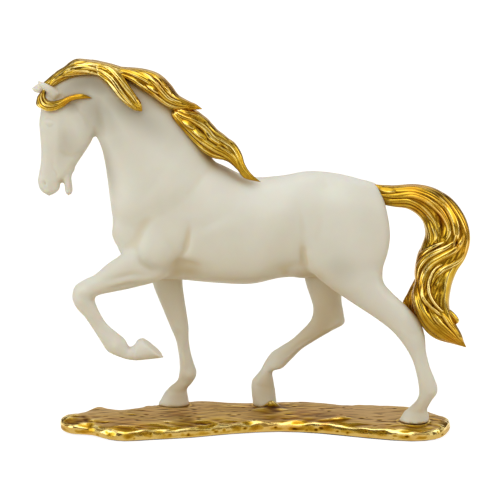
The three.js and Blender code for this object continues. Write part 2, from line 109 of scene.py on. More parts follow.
def feed(made, values):
    """Gives a node's inputs their values, each a plain value or another node's output."""
    for name, value in values.items():
        if isinstance(value, bpy.types.NodeSocket):
            made.id_data.links.new(value, made.inputs[name])
        else:
            made.inputs[name].default_value = value


def node(tree, kind, values, **settings):
    """A new node of a kind: its settings by name, then its inputs."""
    made = tree.nodes.new("ShaderNode" + kind)
    for name, value in settings.items():
        setattr(made, name, value)
    feed(made, values)
    return made


def lay_out(tree):
    """Sets a tree's nodes out in columns, each one to the left of all that it feeds."""
    column = {made.name: 0 for made in tree.nodes}
    for _ in tree.nodes:
        for link in tree.links:
            start, end = link.from_node.name, link.to_node.name
            column[start] = max(column[start], column[end] + 1)
    for place in set(column.values()):
        together = [name for name in column if column[name] == place]
        for row, name in enumerate(together):
            tree.nodes[name].location = (NODE_COLUMN * place, NODE_ROW * row)


print("node tools ready")

# %% [markdown]
# The studio is a white sweep with five soft lamps: the key stands in front and high, one hangs
# overhead, one stands on each side and a weak one behind. A large lamp gives a broad highlight,
# and gold is drawn by its highlights. The world is pure white where the camera or a mirror-like
# surface looks at it, and dimmer where it lights the object, so the pale background takes nothing
# from the shading.

# %% Studio world
WORLD_LIGHT = 0.29
WORLD_TINT = (1.0, 0.94, 0.83, 1.0)
WHITE = (1.0, 1.0, 1.0, 1.0)


def maths(tree, operation, first, second, clamp=False):
    """One step of arithmetic."""
    made = node(tree, "Math", {0: first, 1: second}, operation=operation, use_clamp=clamp)
    return made.outputs[0]


def seen_directly(tree):
    """A value of 1 for rays from the camera, off gloss or through glass, and 0 for others."""
    path = node(tree, "LightPath", {}).outputs
    first = maths(tree, "MAXIMUM", path["Is Camera Ray"], path["Is Glossy Ray"])
    return maths(tree, "MAXIMUM", first, path["Is Transmission Ray"])


scene = bpy.context.scene
scene.view_settings.view_transform = "Standard"
world = bpy.data.worlds.new("studio")
scene.world = world
world.use_nodes = True
tree = world.node_tree
tree.nodes.clear()
lit = node(tree, "Background", {"Color": WORLD_TINT, "Strength": WORLD_LIGHT}).outputs[0]
shown = node(tree, "Background", {"Color": WHITE}).outputs[0]
sky = node(tree, "MixShader", {0: seen_directly(tree), 1: lit, 2: shown}).outputs[0]
node(tree, "OutputWorld", {"Surface": sky})
lay_out(tree)
print("world light", WORLD_LIGHT)

# %% Lamps
WAIST = (0.0, 0.0, 0.15)
LAMPS = [
    # name, place, target, size, watts, colour
    ("overhead", (-0.12, 0.05, 1.38), WAIST, 1.1, 3.9, (1.0, 1.0, 1.0)),
    ("key", (-0.35, -1.10, 1.25), WAIST, 1.1, 6.6, (1.0, 1.0, 0.985)),
    ("left", (-1.3, -0.6, 0.36), WAIST, 0.8, 4.7, (0.92, 0.975, 1.0)),
    ("right", (1.3, -0.45, 0.75), (0.05, 0.0, 0.15), 0.9, 5.2, (1.0, 0.995, 0.98)),
    ("back", (0.15, 1.3, 1.05), WAIST, 0.9, 2.2, (1.0, 1.0, 1.0)),
]
for name, place, target, size, watts, colour in LAMPS:
    data = bpy.data.lights.new(name, "AREA")
    data.shape = "SQUARE"
    data.size = size
    data.energy = watts
    data.color = colour
    lamp = bpy.data.objects.new(name, data)
    bpy.context.collection.objects.link(lamp)
    lamp.location = place
    lamp.rotation_euler = (Vector(target) - Vector(place)).to_track_quat("-Z", "Y").to_euler()
    print("lamp", name, watts, "W")

# %% [markdown]
# The floor is pale and plain. Its own light makes it white for the camera, while a diffuse part
# underneath still catches the ornament's soft shadow.

# %% Colours that change over a surface
def object_place(tree):
    """Object coordinates."""
    return node(tree, "TexCoord", {}).outputs["Object"]


def ranged(tree, value, span=(0.0, 1.0), to=(0.0, 1.0), **settings):
    """to[0] + (to[1] - to[0]) * (value - span[0]) / (span[1] - span[0]), held inside to."""
    values = {"Value": value, "From Min": span[0], "From Max": span[1]}
    values.update({"To Min": to[0], "To Max": to[1]})
    return node(tree, "MapRange", values, **settings).outputs["Result"]


def mixed(tree, factor, first, second, blend="MIX"):
    """The first colour times 1 - factor plus the second one, or their blend, times factor. A mix
    node has its colours at sockets 6 and 7 and puts a colour out at 2."""
    values = {0: factor, 6: first, 7: second}
    return node(tree, "Mix", values, data_type="RGBA", blend_type=blend).outputs[2]


print("places, ranges and mixes ready")

# %% Cards of the studio
CORNERS = ((-1, -1), (1, -1), (1, 1), (-1, 1))
HIDDEN_FROM = ("camera", "diffuse", "shadow", "transmission")


def empty_material(name):
    """A material with an empty tree, and that tree."""
    made = bpy.data.materials.new(name)
    made.use_nodes = True
    made.node_tree.nodes.clear()
    return made, made.node_tree


def stage_card(name, corners, material, gloss_only=False):
    """A flat card of the studio through four corners, which may be hidden from all rays but the
    glossy ones."""
    mesh = bpy.data.meshes.new(name)
    mesh.from_pydata(corners, [], [(0, 1, 2, 3)])
    mesh.materials.append(material)
    card = bpy.data.objects.new(name, mesh)
    bpy.context.collection.objects.link(card)
    for rays in HIDDEN_FROM if gloss_only else ():
        setattr(card, "visible_" + rays, False)


print("a card has", len(CORNERS), "corners")

# %% Floor
FLOOR_HALF = 6.0
FLOOR_PAPER = (0.72, 0.62, 0.46, 1.0)
FLOOR_GLOW_NEAR = (0.66, 0.74, 0.84, 1.0)
FLOOR_GLOW_FAR = (0.96, 0.97, 0.98, 1.0)
FLOOR_GLOW_SPAN = (0.2, 2.2)

floor_material, tree = empty_material("studio_floor")
away = node(tree, "VectorMath", {0: object_place(tree)}, operation="LENGTH").outputs["Value"]
away = ranged(tree, away, FLOOR_GLOW_SPAN, interpolation_type="SMOOTHSTEP")
glow_colour = mixed(tree, away, FLOOR_GLOW_NEAR, FLOOR_GLOW_FAR)
glow = node(tree, "Emission", {"Color": glow_colour, "Strength": seen_directly(tree)}).outputs[0]
paper = node(tree, "BsdfDiffuse", {"Color": FLOOR_PAPER}).outputs[0]
node(tree, "OutputMaterial", {"Surface": node(tree, "AddShader", {0: paper, 1: glow}).outputs[0]})
lay_out(tree)
floor_corners = [(x * FLOOR_HALF, y * FLOOR_HALF, 0.0) for x, y in CORNERS]
stage_card("studio_floor", floor_corners, floor_material)
print("floor", 2 * FLOOR_HALF, "m across")

# %% [markdown]
# Polished gold shows whatever stands round it, so in an empty white room it looks flat. A
# photographer hangs cloths round the set, and so does this studio, as plain cards that only
# glossy rays can see. The dark and the dim ones give the metal its dark streaks, the pale ones
# lie behind and under it and light the sides of the base. The resin's own light stays as it is.

# %% Cloths for the metal
CARD_DISTANCE = 1.55


def cloth(name, colour):
    """A material that shows one even tone, for the studio only."""
    made, cloth_tree = empty_material(name)
    shine = node(cloth_tree, "Emission", {"Color": colour}).outputs[0]
    node(cloth_tree, "OutputMaterial", {"Surface": shine})
    return made


dark_cloth = cloth("dark_cloth", (0.110, 0.072, 0.026, 1.0))
dim_cloth = cloth("dim_cloth", (0.28, 0.21, 0.10, 1.0))
pale_cloth = cloth("pale_cloth", (0.74, 0.62, 0.44, 1.0))


def upright_card(name, azimuth, width, low, high, material):
    """A card that faces the ornament: azimuth 0 is on the near side, 90 at the tail."""
    turn = math.radians(azimuth)
    out = Vector((math.sin(turn), -math.cos(turn), 0.0)) * CARD_DISTANCE
    side = Vector((math.cos(turn), math.sin(turn), 0.0))
    heights = {-1: Vector((0.0, 0.0, low)), 1: Vector((0.0, 0.0, high))}
    corners = [out + side * (width / 2 * across) + heights[up] for across, up in CORNERS]
    stage_card(name, corners, material, gloss_only=True)


CARD_RING = [
    # azimuth, width, foot, top, cloth
    (-28, 0.85, 0.02, 1.35, dark_cloth), (22, 0.95, 0.02, 1.05, dim_cloth),
    (62, 0.75, 0.02, 1.65, dark_cloth), (100, 0.70, 0.02, 1.20, dim_cloth),
    (136, 0.80, 0.02, 1.45, dark_cloth), (180, 1.30, 0.02, 0.62, pale_cloth),
    (180, 1.60, 0.62, 1.60, dark_cloth), (-136, 0.75, 0.02, 1.35, dark_cloth),
    (-100, 0.70, 0.02, 1.45, dim_cloth), (-66, 0.60, 0.02, 1.60, dark_cloth),
]
FLAT_CARDS = [
    # name, middle, half sizes, cloth
    ("ceiling_cloth_0", (0.75, 0.20, 1.7), (0.45, 0.45), dark_cloth),
    ("ceiling_cloth_1", (-0.85, 0.35, 1.7), (0.45, 0.45), dark_cloth),
    ("ceiling_cloth_2", (0.0, 0.9, 1.7), (0.4, 0.4), dark_cloth),
    ("ceiling_cloth_3", (0.6, -0.75, 1.7), (0.42, 0.42), dark_cloth),
    ("ceiling_cloth_4", (-0.75, -0.55, 1.7), (0.3, 0.3), dark_cloth),
    ("near_cloth", (0.0, -0.25, 0.0004), (0.36, 0.25), pale_cloth),
]
for number, row in enumerate(CARD_RING):
    upright_card(f"cloth_{number}", *row)
for name, (x, y, z), (half_x, half_y), material in FLAT_CARDS:
    corners = [(x + half_x * i, y + half_y * j, z) for i, j in CORNERS]
    stage_card(name, corners, material, gloss_only=True)
print("cloths hung:", len(CARD_RING) + len(FLAT_CARDS))

# %% [markdown]
# ## The horse
# The real horse is one casting of white resin, modelled by hand first, so muscles and joints run
# into each other without a seam. It could be sculpted with a brush. Here each part of the body is
# a loft through ribs, the lofts are melted into one skin by a voxel remesh, and soft strokes then
# raise the muscles and press in the creases, which keeps every form in numbers.

# %% Curves through points


def smooth(points, at):
    """A Catmull-Rom curve through rows of numbers, read at places counted in rows.

    Between two rows it is the cubic that leaves and arrives with the slopes of the centripetal
    rule: each slope blends the steps to both neighbours, weighted by the root of their lengths.
    """
    rows = np.asarray(points, dtype=float)
    held = np.vstack([2 * rows[0] - rows[1], rows, 2 * rows[-1] - rows[-2]])
    first = np.clip(np.floor(at).astype(int), 0, len(rows) - 2)
    u = (np.asarray(at) - first)[:, None]
    before, start, end, after = (held[first + k] for k in range(4))

    def knot(p, q):
        return np.sqrt(np.maximum(np.linalg.norm(q - p, axis=1), 1e-4))[:, None]

    k0, k1, k2 = knot(before, start), knot(start, end), knot(end, after)
    leave = ((start - before) / k0 - (end - before) / (k0 + k1) + (end - start) / k1) * k1
    arrive = ((end - start) / k1 - (after - start) / (k1 + k2) + (after - end) / k2) * k1
    return (
        start
        + leave * u
        + (3 * (end - start) - 2 * leave - arrive) * u**2
        + (2 * (start - end) + leave + arrive) * u**3
    )


def rib_curves(ribs, at, tip=None):
    """The two edges and the half widths of a form at places along its ribs.

    A rib is (x, z of one edge, x, z of the other edge, half width, sideways place).
    """
    table = np.asarray(ribs, dtype=float)
    if tip is not None:
        table = np.vstack([table, (tip[0], tip[2], tip[0], tip[2], 0.0, tip[1])])
    edge_a = smooth(table[:, [0, 5, 1]], at)
    edge_b = smooth(table[:, [2, 5, 3]], at)
    width = np.maximum(smooth(table[:, [4]], at)[:, 0], 0.0)
    return edge_a, edge_b, width


print("curves ready")


# %% A loft as a grid of points
def bulge(value, squareness):
    """A sine or cosine raised to 2 / squareness with its sign kept."""
    return np.sign(value) * np.abs(value) ** (2 / squareness)


def loft(ribs, tip=None, steps=8, sides=40, squareness=2.0, egg=0.0):
    """A grid of points round a form: the middle of a rib, plus its half depth times the cosine
    of an angle, plus its half width times the sine, both raised to 2 / squareness. An egg over 0
    makes the first edge the broad one."""
    last = len(ribs) - 1 + (tip is not None)
    at = np.linspace(0, last - (0.04 if tip is not None else 0), last * steps + 1)
    edge_a, edge_b, width = rib_curves(ribs, at, tip)
    middle, half = (edge_a + edge_b) / 2, (edge_a - edge_b) / 2
    angle = np.linspace(0, 2 * np.pi, sides, endpoint=False)
    cosine, sine = np.cos(angle), np.sin(angle)
    grid = middle[:, None] + half[:, None] * bulge(cosine, squareness)[None, :, None]
    grid[:, :, 1] += width[:, None] * (bulge(sine, squareness) * (1 + egg * cosine))[None, :]
    return grid


print("lofts ready")


# %% Closed shells and pieces
def grid_quads(rows, columns):
    """Faces of a grid whose rows close into rings, as point numbers."""
    low = np.arange((rows - 1) * columns).reshape(rows - 1, columns)
    high = low + columns
    faces = np.stack([low, np.roll(low, -1, 1), np.roll(high, -1, 1), high], axis=-1)
    return faces.reshape(-1, 4)


def capped(grid):
    """The points and faces of a ring grid, closed by a point in the middle of each end."""
    rows, columns = grid.shape[:2]
    points = np.vstack([grid.reshape(-1, 3), grid[0].mean(0), grid[-1].mean(0)])
    ring = np.arange(columns)
    last = (rows - 1) * columns
    start, end = rows * columns, rows * columns + 1
    faces = grid_quads(rows, columns).tolist()
    faces += [(start, int(j), int(i)) for i, j in zip(ring, np.roll(ring, -1))]
    faces += [(end, int(last + i), int(last + j)) for i, j in zip(ring, np.roll(ring, -1))]
    return points, faces


def outward(points, faces):
    """The same faces, turned round if they enclose a negative volume."""
    volume = 0.0
    for sides in (3, 4):
        some = np.array([face for face in faces if len(face) == sides], dtype=int)
        for k in range(1, sides - 1) if len(some) else ():
            a, b, c = (points[some[:, i]] for i in (0, k, k + 1))
            volume += np.einsum("ij,ij->", a, np.cross(b, c))
    return faces if volume > 0 else [tuple(reversed(face)) for face in faces]


def merged(shells):
    """Several shells of points and faces as one list of each, every shell facing outwards."""
    points, faces, count = [], [], 0
    for shell_points, shell_faces in shells:
        points.append(shell_points)
        faces += [tuple(i + count for i in face) for face in outward(shell_points, shell_faces)]
        count += len(shell_points)
    return np.vstack(points), faces


def new_piece(name, points, faces, body="root"):
    """A mesh object at the origin, from millimetre points, with smooth faces."""
    mesh = bpy.data.meshes.new(name)
    mesh.from_pydata(in_metres(points).tolist(), [], faces)
    mesh.shade_smooth()
    piece = bpy.data.objects.new(name, mesh)
    bpy.context.collection.objects.link(piece)
    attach(piece, body)
    return piece


print("shells and pieces ready")

# %% [markdown]
# ### Trunk, neck and head
# Each row is one rib: a point on the upper or front edge of the side view, a point on the lower
# or back edge, the half width, and how far the rib's middle stands from the middle plane.

# %% Trunk, neck and head
TRUNK = [
    (-99.5, 171, -107, 145, 11, 0), (-85, 183, -101, 128, 17.5, 0),
    (-60, 198, -81, 111, 24, 0), (-31.5, 202, -55, 109, 27, 0),
    (-2, 190, -29.5, 106.8, 29.5, 0), (23, 190.5, -0.5, 105.8, 29.5, 0),
    (43, 194, 24, 110.6, 26, 0), (63, 193, 47, 111, 22, 0),
    (81.5, 189, 78, 114, 20, 0), (95.5, 183.5, 98, 127, 16, 0),
    (103.5, 171, 105.5, 141, 11, 0),
]
NECK = [
    (-146.5, 243, -150.5, 263.5, 7, 0), (-131, 232, -136.5, 272.5, 8.5, 0),
    (-120.5, 223.5, -116.5, 274, 9.5, 0), (-115.5, 213.5, -95, 267.5, 11, 0),
    (-112.5, 200, -76, 259, 13, 0), (-110.5, 185, -57, 242, 16.5, 0),
    (-109, 169.5, -39.5, 220, 21, 0), (-107, 155, -26, 200, 23.5, 0),
    (-104, 136, -8, 190, 20, 0),
]
HEAD = [
    (-157.5, 255.5, -141.5, 254, 7.5, 0), (-160, 249, -131, 246, 9.5, 0),
    (-161, 241.5, -123.5, 238.5, 10.5, 0), (-162.5, 232, -119.5, 228.5, 10.8, 0),
    (-162, 221.5, -122, 219, 10, 0), (-161.5, 210.5, -128, 209, 8.2, 0),
    (-162, 201, -133.5, 201, 6.8, 0), (-163.5, 192.5, -139, 192.5, 6.5, 0),
    (-164.5, 186, -146.5, 187, 6.4, 0), (-162.5, 179.5, -148.5, 179.5, 5.6, 0),
]
MUZZLE_TIP = (-156, 0, 174.5)
LOWER_LIP = [
    (-149, 196, -135.5, 196, 5.4, 0), (-146, 190, -138.5, 190, 4.8, 0),
    (-144, 183.5, -138, 183.5, 4.2, 0), (-143.5, 178, -138, 178, 3.6, 0),
]
LOWER_LIP_TIP = (-141, 0, 174.5)
NEAR_EAR = [
    (-151.5, 250.5, -144.5, 256.4, 4.4, -5.5), (-155.8, 255, -150.6, 260.6, 4.2, -6.6),
    (-159.6, 259.4, -156.4, 263.6, 3, -7.5),
]
NEAR_EAR_TIP = (-163.4, -8.4, 266.4)
FAR_EAR = [
    (-150, 249, -142.5, 255, 4.2, 5.5), (-156, 251.5, -151, 259, 4.2, 6),
    (-163, 253.8, -160, 262, 4, 7), (-166.6, 254.8, -164.4, 260.6, 2.4, 7.5),
]
FAR_EAR_TIP = (-169, 8, 257.6)
SHEATH = [
    (27, 116, 28.5, 112, 2.6, 0), (33, 116, 33.5, 110, 3.6, 0),
    (38, 116, 38.5, 108.2, 4, 0), (43, 116, 44, 108.8, 3.4, 0),
]
print("ribs of the trunk", len(TRUNK), "neck", len(NECK), "head", len(HEAD))

# %% [markdown]
# ### Legs
# Three hooves stand on the base and the near foreleg is lifted with its knee bent. Here the first
# edge is the front of the leg, and the ribs close up at knee, hock, fetlock and coronet.

# %% Legs
NEAR_FORELEG = [
    (-80, 176, -52, 170, 6, -8), (-87, 160, -52.5, 150, 10.4, -12),
    (-89, 146, -52.5, 131, 12.8, -14), (-95, 137, -66, 113.5, 12.2, -16.6),
    (-110, 126, -91, 106.5, 9.5, -19), (-120.5, 117, -106.5, 103.5, 7.8, -20),
    (-129.5, 112.5, -115.5, 101.5, 7.2, -20), (-136, 107.5, -120, 99.5, 7.4, -20),
    (-138, 98.5, -120.5, 97, 7.2, -20), (-135, 91, -119.5, 93, 6.4, -20),
    (-129, 84, -117, 87, 5.4, -20), (-121.5, 72, -111.5, 77.5, 4.8, -19),
    (-115.5, 62, -103, 70, 5.2, -19), (-111.5, 56, -98, 65.5, 6, -19),
    (-100, 50.5, -94, 59, 5, -19), (-94, 49, -90.5, 61.5, 5.8, -19),
    (-91, 48.5, -88.5, 64.5, 6.8, -19), (-67.5, 51, -84.5, 66.5, 9, -19),
]
FAR_FORELEG = [
    (-86.5, 136.5, -50.5, 133.5, 12, 12), (-81.5, 118.5, -51.5, 118.5, 11.5, 14),
    (-78, 102.5, -54, 104, 10, 16), (-68.5, 77, -51, 77.5, 7.4, 18),
    (-63.5, 64, -49.5, 65, 7, 19), (-60, 55, -49.5, 55, 5.9, 20),
    (-58, 44, -48, 44, 5.1, 21), (-57, 34, -45.5, 34.5, 5.2, 21.5),
    (-57.5, 26, -43.5, 26.5, 5.9, 22), (-59, 20.5, -46.5, 19.5, 5.2, 22),
    (-64.5, 15.5, -51, 14, 6.2, 22), (-68, 12, -51, 11, 6.9, 22),
    (-75, 0, -49.5, 0, 9, 22),
]
FAR_HIND_LEG = [
    (58, 192, 97, 184, 8, 5), (46, 179, 104, 168, 12.8, 10.5), (41.5, 157, 101, 149, 14, 13),
    (40.5, 136, 91, 129.5, 14, 14),
    (39, 118, 80, 110, 13, 15), (42.5, 102.5, 71.5, 92.5, 11, 17),
    (49, 80, 73.5, 75, 7.6, 19), (47, 70.5, 74, 68.5, 6.8, 20),
    (39.5, 61.5, 64, 62, 6, 20.5), (31.5, 54, 49.5, 53, 5.2, 21),
    (23, 48.5, 40, 46.5, 4.9, 21), (16, 43.5, 31, 37, 5.2, 21.5),
    (11, 36, 25, 31, 5.8, 22), (7, 28.5, 17.5, 28.5, 5.2, 22),
    (1, 21, 18, 19.5, 6.2, 22), (0, 17.5, 19, 14, 6.9, 22),
    (1.5, 0, 20.5, 0, 8.6, 22),
]
NEAR_HIND_LEG = [
    (58, 192, 97, 184, 8, -5), (46, 179, 104, 168, 12.8, -10.5),
    (40.5, 158, 107, 147, 14.4, -13.6), (40.5, 138, 105, 133, 14.5, -15.6),
    (43.5, 122.5, 101.5, 121, 13.2, -17),
    (57.5, 109, 102, 111, 11.6, -19), (72.5, 98.5, 106.5, 105, 9.6, -20),
    (98.5, 81, 122.5, 89.5, 7.2, -21), (109, 72.5, 130, 80.5, 6.8, -21.5),
    (117, 63, 134, 70, 6.1, -22), (123.5, 52.5, 135.5, 56.5, 5.2, -22),
    (127, 43, 138.5, 44.5, 5, -22), (130.5, 24, 145, 25, 6, -22),
    (129, 17.5, 140.5, 17, 5.4, -22), (123, 11, 137, 9.5, 6.2, -22),
    (120, 8.5, 138, 7, 7, -22), (115, 0, 139, 0, 9, -22),
]
print("ribs of the legs", [len(leg) for leg in (NEAR_FORELEG, FAR_FORELEG, FAR_HIND_LEG)])

# %% Melt the lofts into one skin
SKIN_VOXEL = 0.00128


def melt(piece, voxel):
    """Puts one skin round all the shells of a piece, on a grid of cells of one size."""
    remesh = piece.modifiers.new("melt", "REMESH")
    remesh.mode = "VOXEL"
    remesh.voxel_size = voxel
    remesh.use_smooth_shade = True
    depsgraph = bpy.context.evaluated_depsgraph_get()
    melted = bpy.data.meshes.new_from_object(piece.evaluated_get(depsgraph))
    piece.modifiers.remove(remesh)
    piece.data = melted
    print(piece.name, "melted to", len(melted.vertices), "points,", len(melted.polygons), "faces")


SHAPED_LOFTS = [
    loft(TRUNK, sides=64, squareness=2.15, egg=-0.06),
    loft(NECK, sides=48, squareness=2.1, egg=0.08),
    loft(HEAD, MUZZLE_TIP, sides=48, squareness=2.5),
    loft(LOWER_LIP, LOWER_LIP_TIP, squareness=2.2),
    loft(NEAR_EAR, NEAR_EAR_TIP, steps=10),
    loft(FAR_EAR, FAR_EAR_TIP, steps=10),
]
PLAIN_FORMS = [SHEATH, NEAR_FORELEG, FAR_FORELEG, FAR_HIND_LEG, NEAR_HIND_LEG]
shells = [capped(grid) for grid in SHAPED_LOFTS + [loft(form) for form in PLAIN_FORMS]]
horse = new_piece("horse", *merged(shells))
melt(horse, SKIN_VOXEL)

# %% [markdown]
# The head carries the finest forms, so its faces are split once more before anything is drawn on
# it, and the rest of the skin keeps the coarser grid.

# %% Finer faces on the head
HEAD_SPLIT_X = -114.0
HEAD_SPLIT_Z = 168.0

split = bmesh.new()
split.from_mesh(horse.data)
limit_x = HORSE_ORIGIN[0] + HEAD_SPLIT_X * MM
limit_z = HORSE_ORIGIN[2] + HEAD_SPLIT_Z * MM
head_edges = [
    edge
    for edge in split.edges
    if all(v.co.x < limit_x and v.co.z > limit_z for v in edge.verts)
]
bmesh.ops.subdivide_edges(split, edges=head_edges, cuts=1, use_grid_fill=True)
bmesh.ops.triangulate(split, faces=[face for face in split.faces if len(face.verts) > 4])
split.to_mesh(horse.data)
split.free()
horse.data.shade_smooth()
print("skin with a finer head", len(horse.data.vertices), "points")


# %% Skin as arrays
def read_rows(items, name, width=3, kind=float):
    """One property of all points or edges, as rows of numbers."""
    flat = np.empty(len(items) * width, dtype=kind)
    items.foreach_get(name, flat)
    return flat.reshape(-1, width)


def read_points(mesh):
    """The mesh's points in millimetres of the horse's frame."""
    return (read_rows(mesh.vertices, "co") - HORSE_ORIGIN) / MM


def write_points(mesh, points):
    """Puts millimetre points of the horse's frame back into the mesh."""
    mesh.vertices.foreach_set("co", in_metres(points).ravel())
    mesh.update()


def read_normals(mesh):
    """The outward direction at each point."""
    return read_rows(mesh.vertex_normals, "vector")


def read_edges(mesh):
    """The two point numbers of each edge."""
    return read_rows(mesh.edges, "vertices", 2, np.int32)


def neighbour_mean(values, edges, share):
    """The mean of each point's neighbours: the sum over its edges times 1 / their number."""
    total = np.empty_like(values)
    for k in range(values.shape[1]):
        total[:, k] = np.bincount(edges[:, 0], values[edges[:, 1], k], len(values))
        total[:, k] += np.bincount(edges[:, 1], values[edges[:, 0], k], len(values))
    return total * share[:, None]


PULL = 0.5
PUSH = 0.53


def relaxed(points, edges, rounds, push=PUSH, weight=1.0):
    """Points drawn towards their neighbours' mean and pushed back, round by round, which takes
    away ripples and keeps the volume. With no push it only melts."""
    share = 1 / np.maximum(np.bincount(edges.ravel(), minlength=len(points)), 1)
    amount = np.broadcast_to(weight, len(points))[:, None]
    for _ in range(rounds):
        points = points + amount * PULL * (neighbour_mean(points, edges, share) - points)
        if push:
            points = points - amount * push * (neighbour_mean(points, edges, share) - points)
    return points


SKIN_ROUNDS = 24

skin_edges = read_edges(horse.data)
skin = relaxed(read_points(horse.data), skin_edges, SKIN_ROUNDS)
write_points(horse.data, skin)
print("skin from", skin.min(0).round(1), "to", skin.max(0).round(1))

# %% [markdown]
# ### Muscles and creases
# A modeller pulls soft ridges and creases over the rough body. Each stroke here is a line in the
# side view with a radius and a height, in millimetres. A point moves along its own normal by the
# height times a bell curve of its distance from the line, so strokes melt into each other.


# %% Strokes
def nearest_on(path, x, z):
    """The signed distance of points from a path, the share of its length there, and its length.
    The nearest of its pieces counts, and the sign says on which side a point lies."""
    step = np.diff(path, axis=0)
    length = np.maximum(np.linalg.norm(step, axis=1), 1e-6)
    dx, dz = x[:, None] - path[:-1, 0], z[:, None] - path[:-1, 1]
    t = np.clip((dx * step[:, 0] + dz * step[:, 1]) / length**2, 0, 1)
    gap = np.hypot(dx - t * step[:, 0], dz - t * step[:, 1])
    piece, row = gap.argmin(1), np.arange(len(x))
    side = np.where(step[piece, 0] * dz[row, piece] < step[piece, 1] * dx[row, piece], -1, 1)
    along = (np.cumsum(length) - length)[piece] + t[row, piece] * length[piece]
    return side * gap[row, piece], along / length.sum(), length.sum()


def bell(x, z, line, radius):
    """exp(-(distance / radius)^2) from a line, which fades to a third at both of its ends. A
    line of one point is a round spot."""
    path = np.asarray(line if len(line) > 1 else line * 2, dtype=float)
    gap, share, _ = nearest_on(path, x, z)
    fade = 0.3 + 0.7 * np.sin(np.pi * share) if len(line) > 1 else 1.0
    return fade * np.exp(-((gap / radius) ** 2))


def step_between(low, high, value):
    """0 below low, 1 above high, and a smooth S between."""
    t = np.clip((value - low) / (high - low), 0, 1)
    return t * t * (3 - 2 * t)


WINDOW_EDGE = 2.0


def inside_window(y, low, high):
    """1 where y is between two places, fading to 0 over an edge."""
    rise = step_between(low - WINDOW_EDGE, low + WINDOW_EDGE, y)
    return rise * (1 - step_between(high - WINDOW_EDGE, high + WINDOW_EDGE, y))


def stroked(points, normals, strokes, window, both_sides=False, all_round=False):
    """How far each point moves: for every stroke (line, radius, height) its height times
    exp(-(distance / radius)^2), held to a window of y and to faces that look sideways."""
    moves = np.zeros(len(points))
    x, y, z = points.T
    sideways = 1.0 if all_round else step_between(0.05, 0.45, np.abs(normals[:, 1]))
    for side in (1, -1) if both_sides else (1,):
        held = inside_window(y * side, *window) * sideways
        some = np.flatnonzero(held > 0.01)
        for line, radius, height in strokes:
            moves[some] += height * bell(x[some], z[some], line, radius) * held[some]
    return moves


print("strokes can be drawn")

# %% Strokes of the trunk
TRUNK_STROKES = [
    # line, radius, height
    ([(-68, 143)], 17, 1.6),  # upper arm
    ([(-98, 172)], 10, 0.9),  # breast
    ([(-100, 160), (-99, 148), (-97, 138)], 8, 0.7),
    ([(-110, 160), (-109, 148), (-105, 136)], 8.5, 3.0),  # front of the breast
    ([(-78, 165), (-84, 151), (-87.5, 140), (-86, 132)], 5, -0.9),  # front of the upper arm
    ([(-87, 136), (-84, 128), (-77, 123.5), (-65, 121)], 4.4, -2.0),
    ([(-47.5, 157), (-48.6, 147), (-51, 137), (-57, 127)], 3.7, -2.0),  # behind it
    ([(-60, 126), (-49, 126.5), (-37, 124.5)], 4.2, -2.2),
    ([(-57, 119)], 9, -2.0),  # behind the elbow, over the far leg's root
    ([(-62, 207), (-78, 185), (-86, 168)], 5, -0.45),  # front of the shoulder blade
    ([(-80, 164), (-66, 183), (-52, 204)], 9, 0.4),
    ([(-38, 193), (-56, 180), (-72, 168)], 9, 1.15),
    ([(-48, 196), (-43, 178), (-42, 162)], 9, -0.4),  # behind the shoulder blade
    ([(-47, 152), (-30, 159.5), (-14, 167.5)], 4.5, -0.5),  # edge of the ribs
    ([(-40, 147), (-26, 153.5), (-8, 161.5)], 6, 0.5),
    ([(-24, 150), (-22, 134), (-23, 116)], 4.5, -0.12),
    ([(-12, 158), (-9, 142), (-11, 118)], 4.5, -0.14),
    ([(0, 166), (3, 148), (1, 120)], 4.5, -0.14),
    ([(12, 168), (15, 152), (13, 124)], 4.5, -0.12),
    ([(5.7, 163)], 1.9, 0.28),
    ([(12.6, 163)], 1.9, 0.28),
    ([(34.5, 184), (37.5, 163), (38.4, 145)], 4.2, -0.5),  # flank
    ([(38.6, 142), (39.6, 132), (41, 123)], 3.4, -1.3),
    ([(14, 119), (28, 122), (40, 126)], 5.0, -1.4),
    ([(27, 114.5)], 5, -1.3),  # the belly line in front of the sheath, and the sheath
    ([(36, 110)], 4.5, 1.3),
    ([(26, 178)], 11, -0.7),
    ([(51, 186), (49, 168), (46, 150), (44.5, 136)], 6, 0.8),  # front of the thigh
    ([(44.5, 148), (46, 134), (51, 123)], 5, 0.9),
    ([(30, 186.5), (40, 188.5)], 5, 0.7),  # point of the hip
    ([(69, 189), (85, 177), (92.6, 169), (94, 158)], 6, 0.5),
    ([(58, 150), (63, 136), (70, 122), (78, 112)], 12, -0.8),  # between the thigh muscles
    ([(84, 160), (84, 140)], 9, 0.5),
    ([(91, 150), (94, 134), (96.5, 124)], 5, -0.5),
    ([(52, 132)], 10, 0.6),  # stifle
    ([(70, 124), (81, 115), (91, 107)], 7, -0.4),
    ([(101, 124), (107, 111), (112.5, 101), (118, 92)], 2.6, 0.5),  # tendon of the hock
    ([(96.5, 126), (100, 115), (105.5, 105), (113, 94)], 3.2, -0.7),
    ([(90, 97)], 8, 0.4),
]
# The far side has those from behind the elbow to between the thigh muscles.
FAR_TRUNK_STROKES = TRUNK_STROKES[8:32]
print("trunk strokes", len(TRUNK_STROKES))

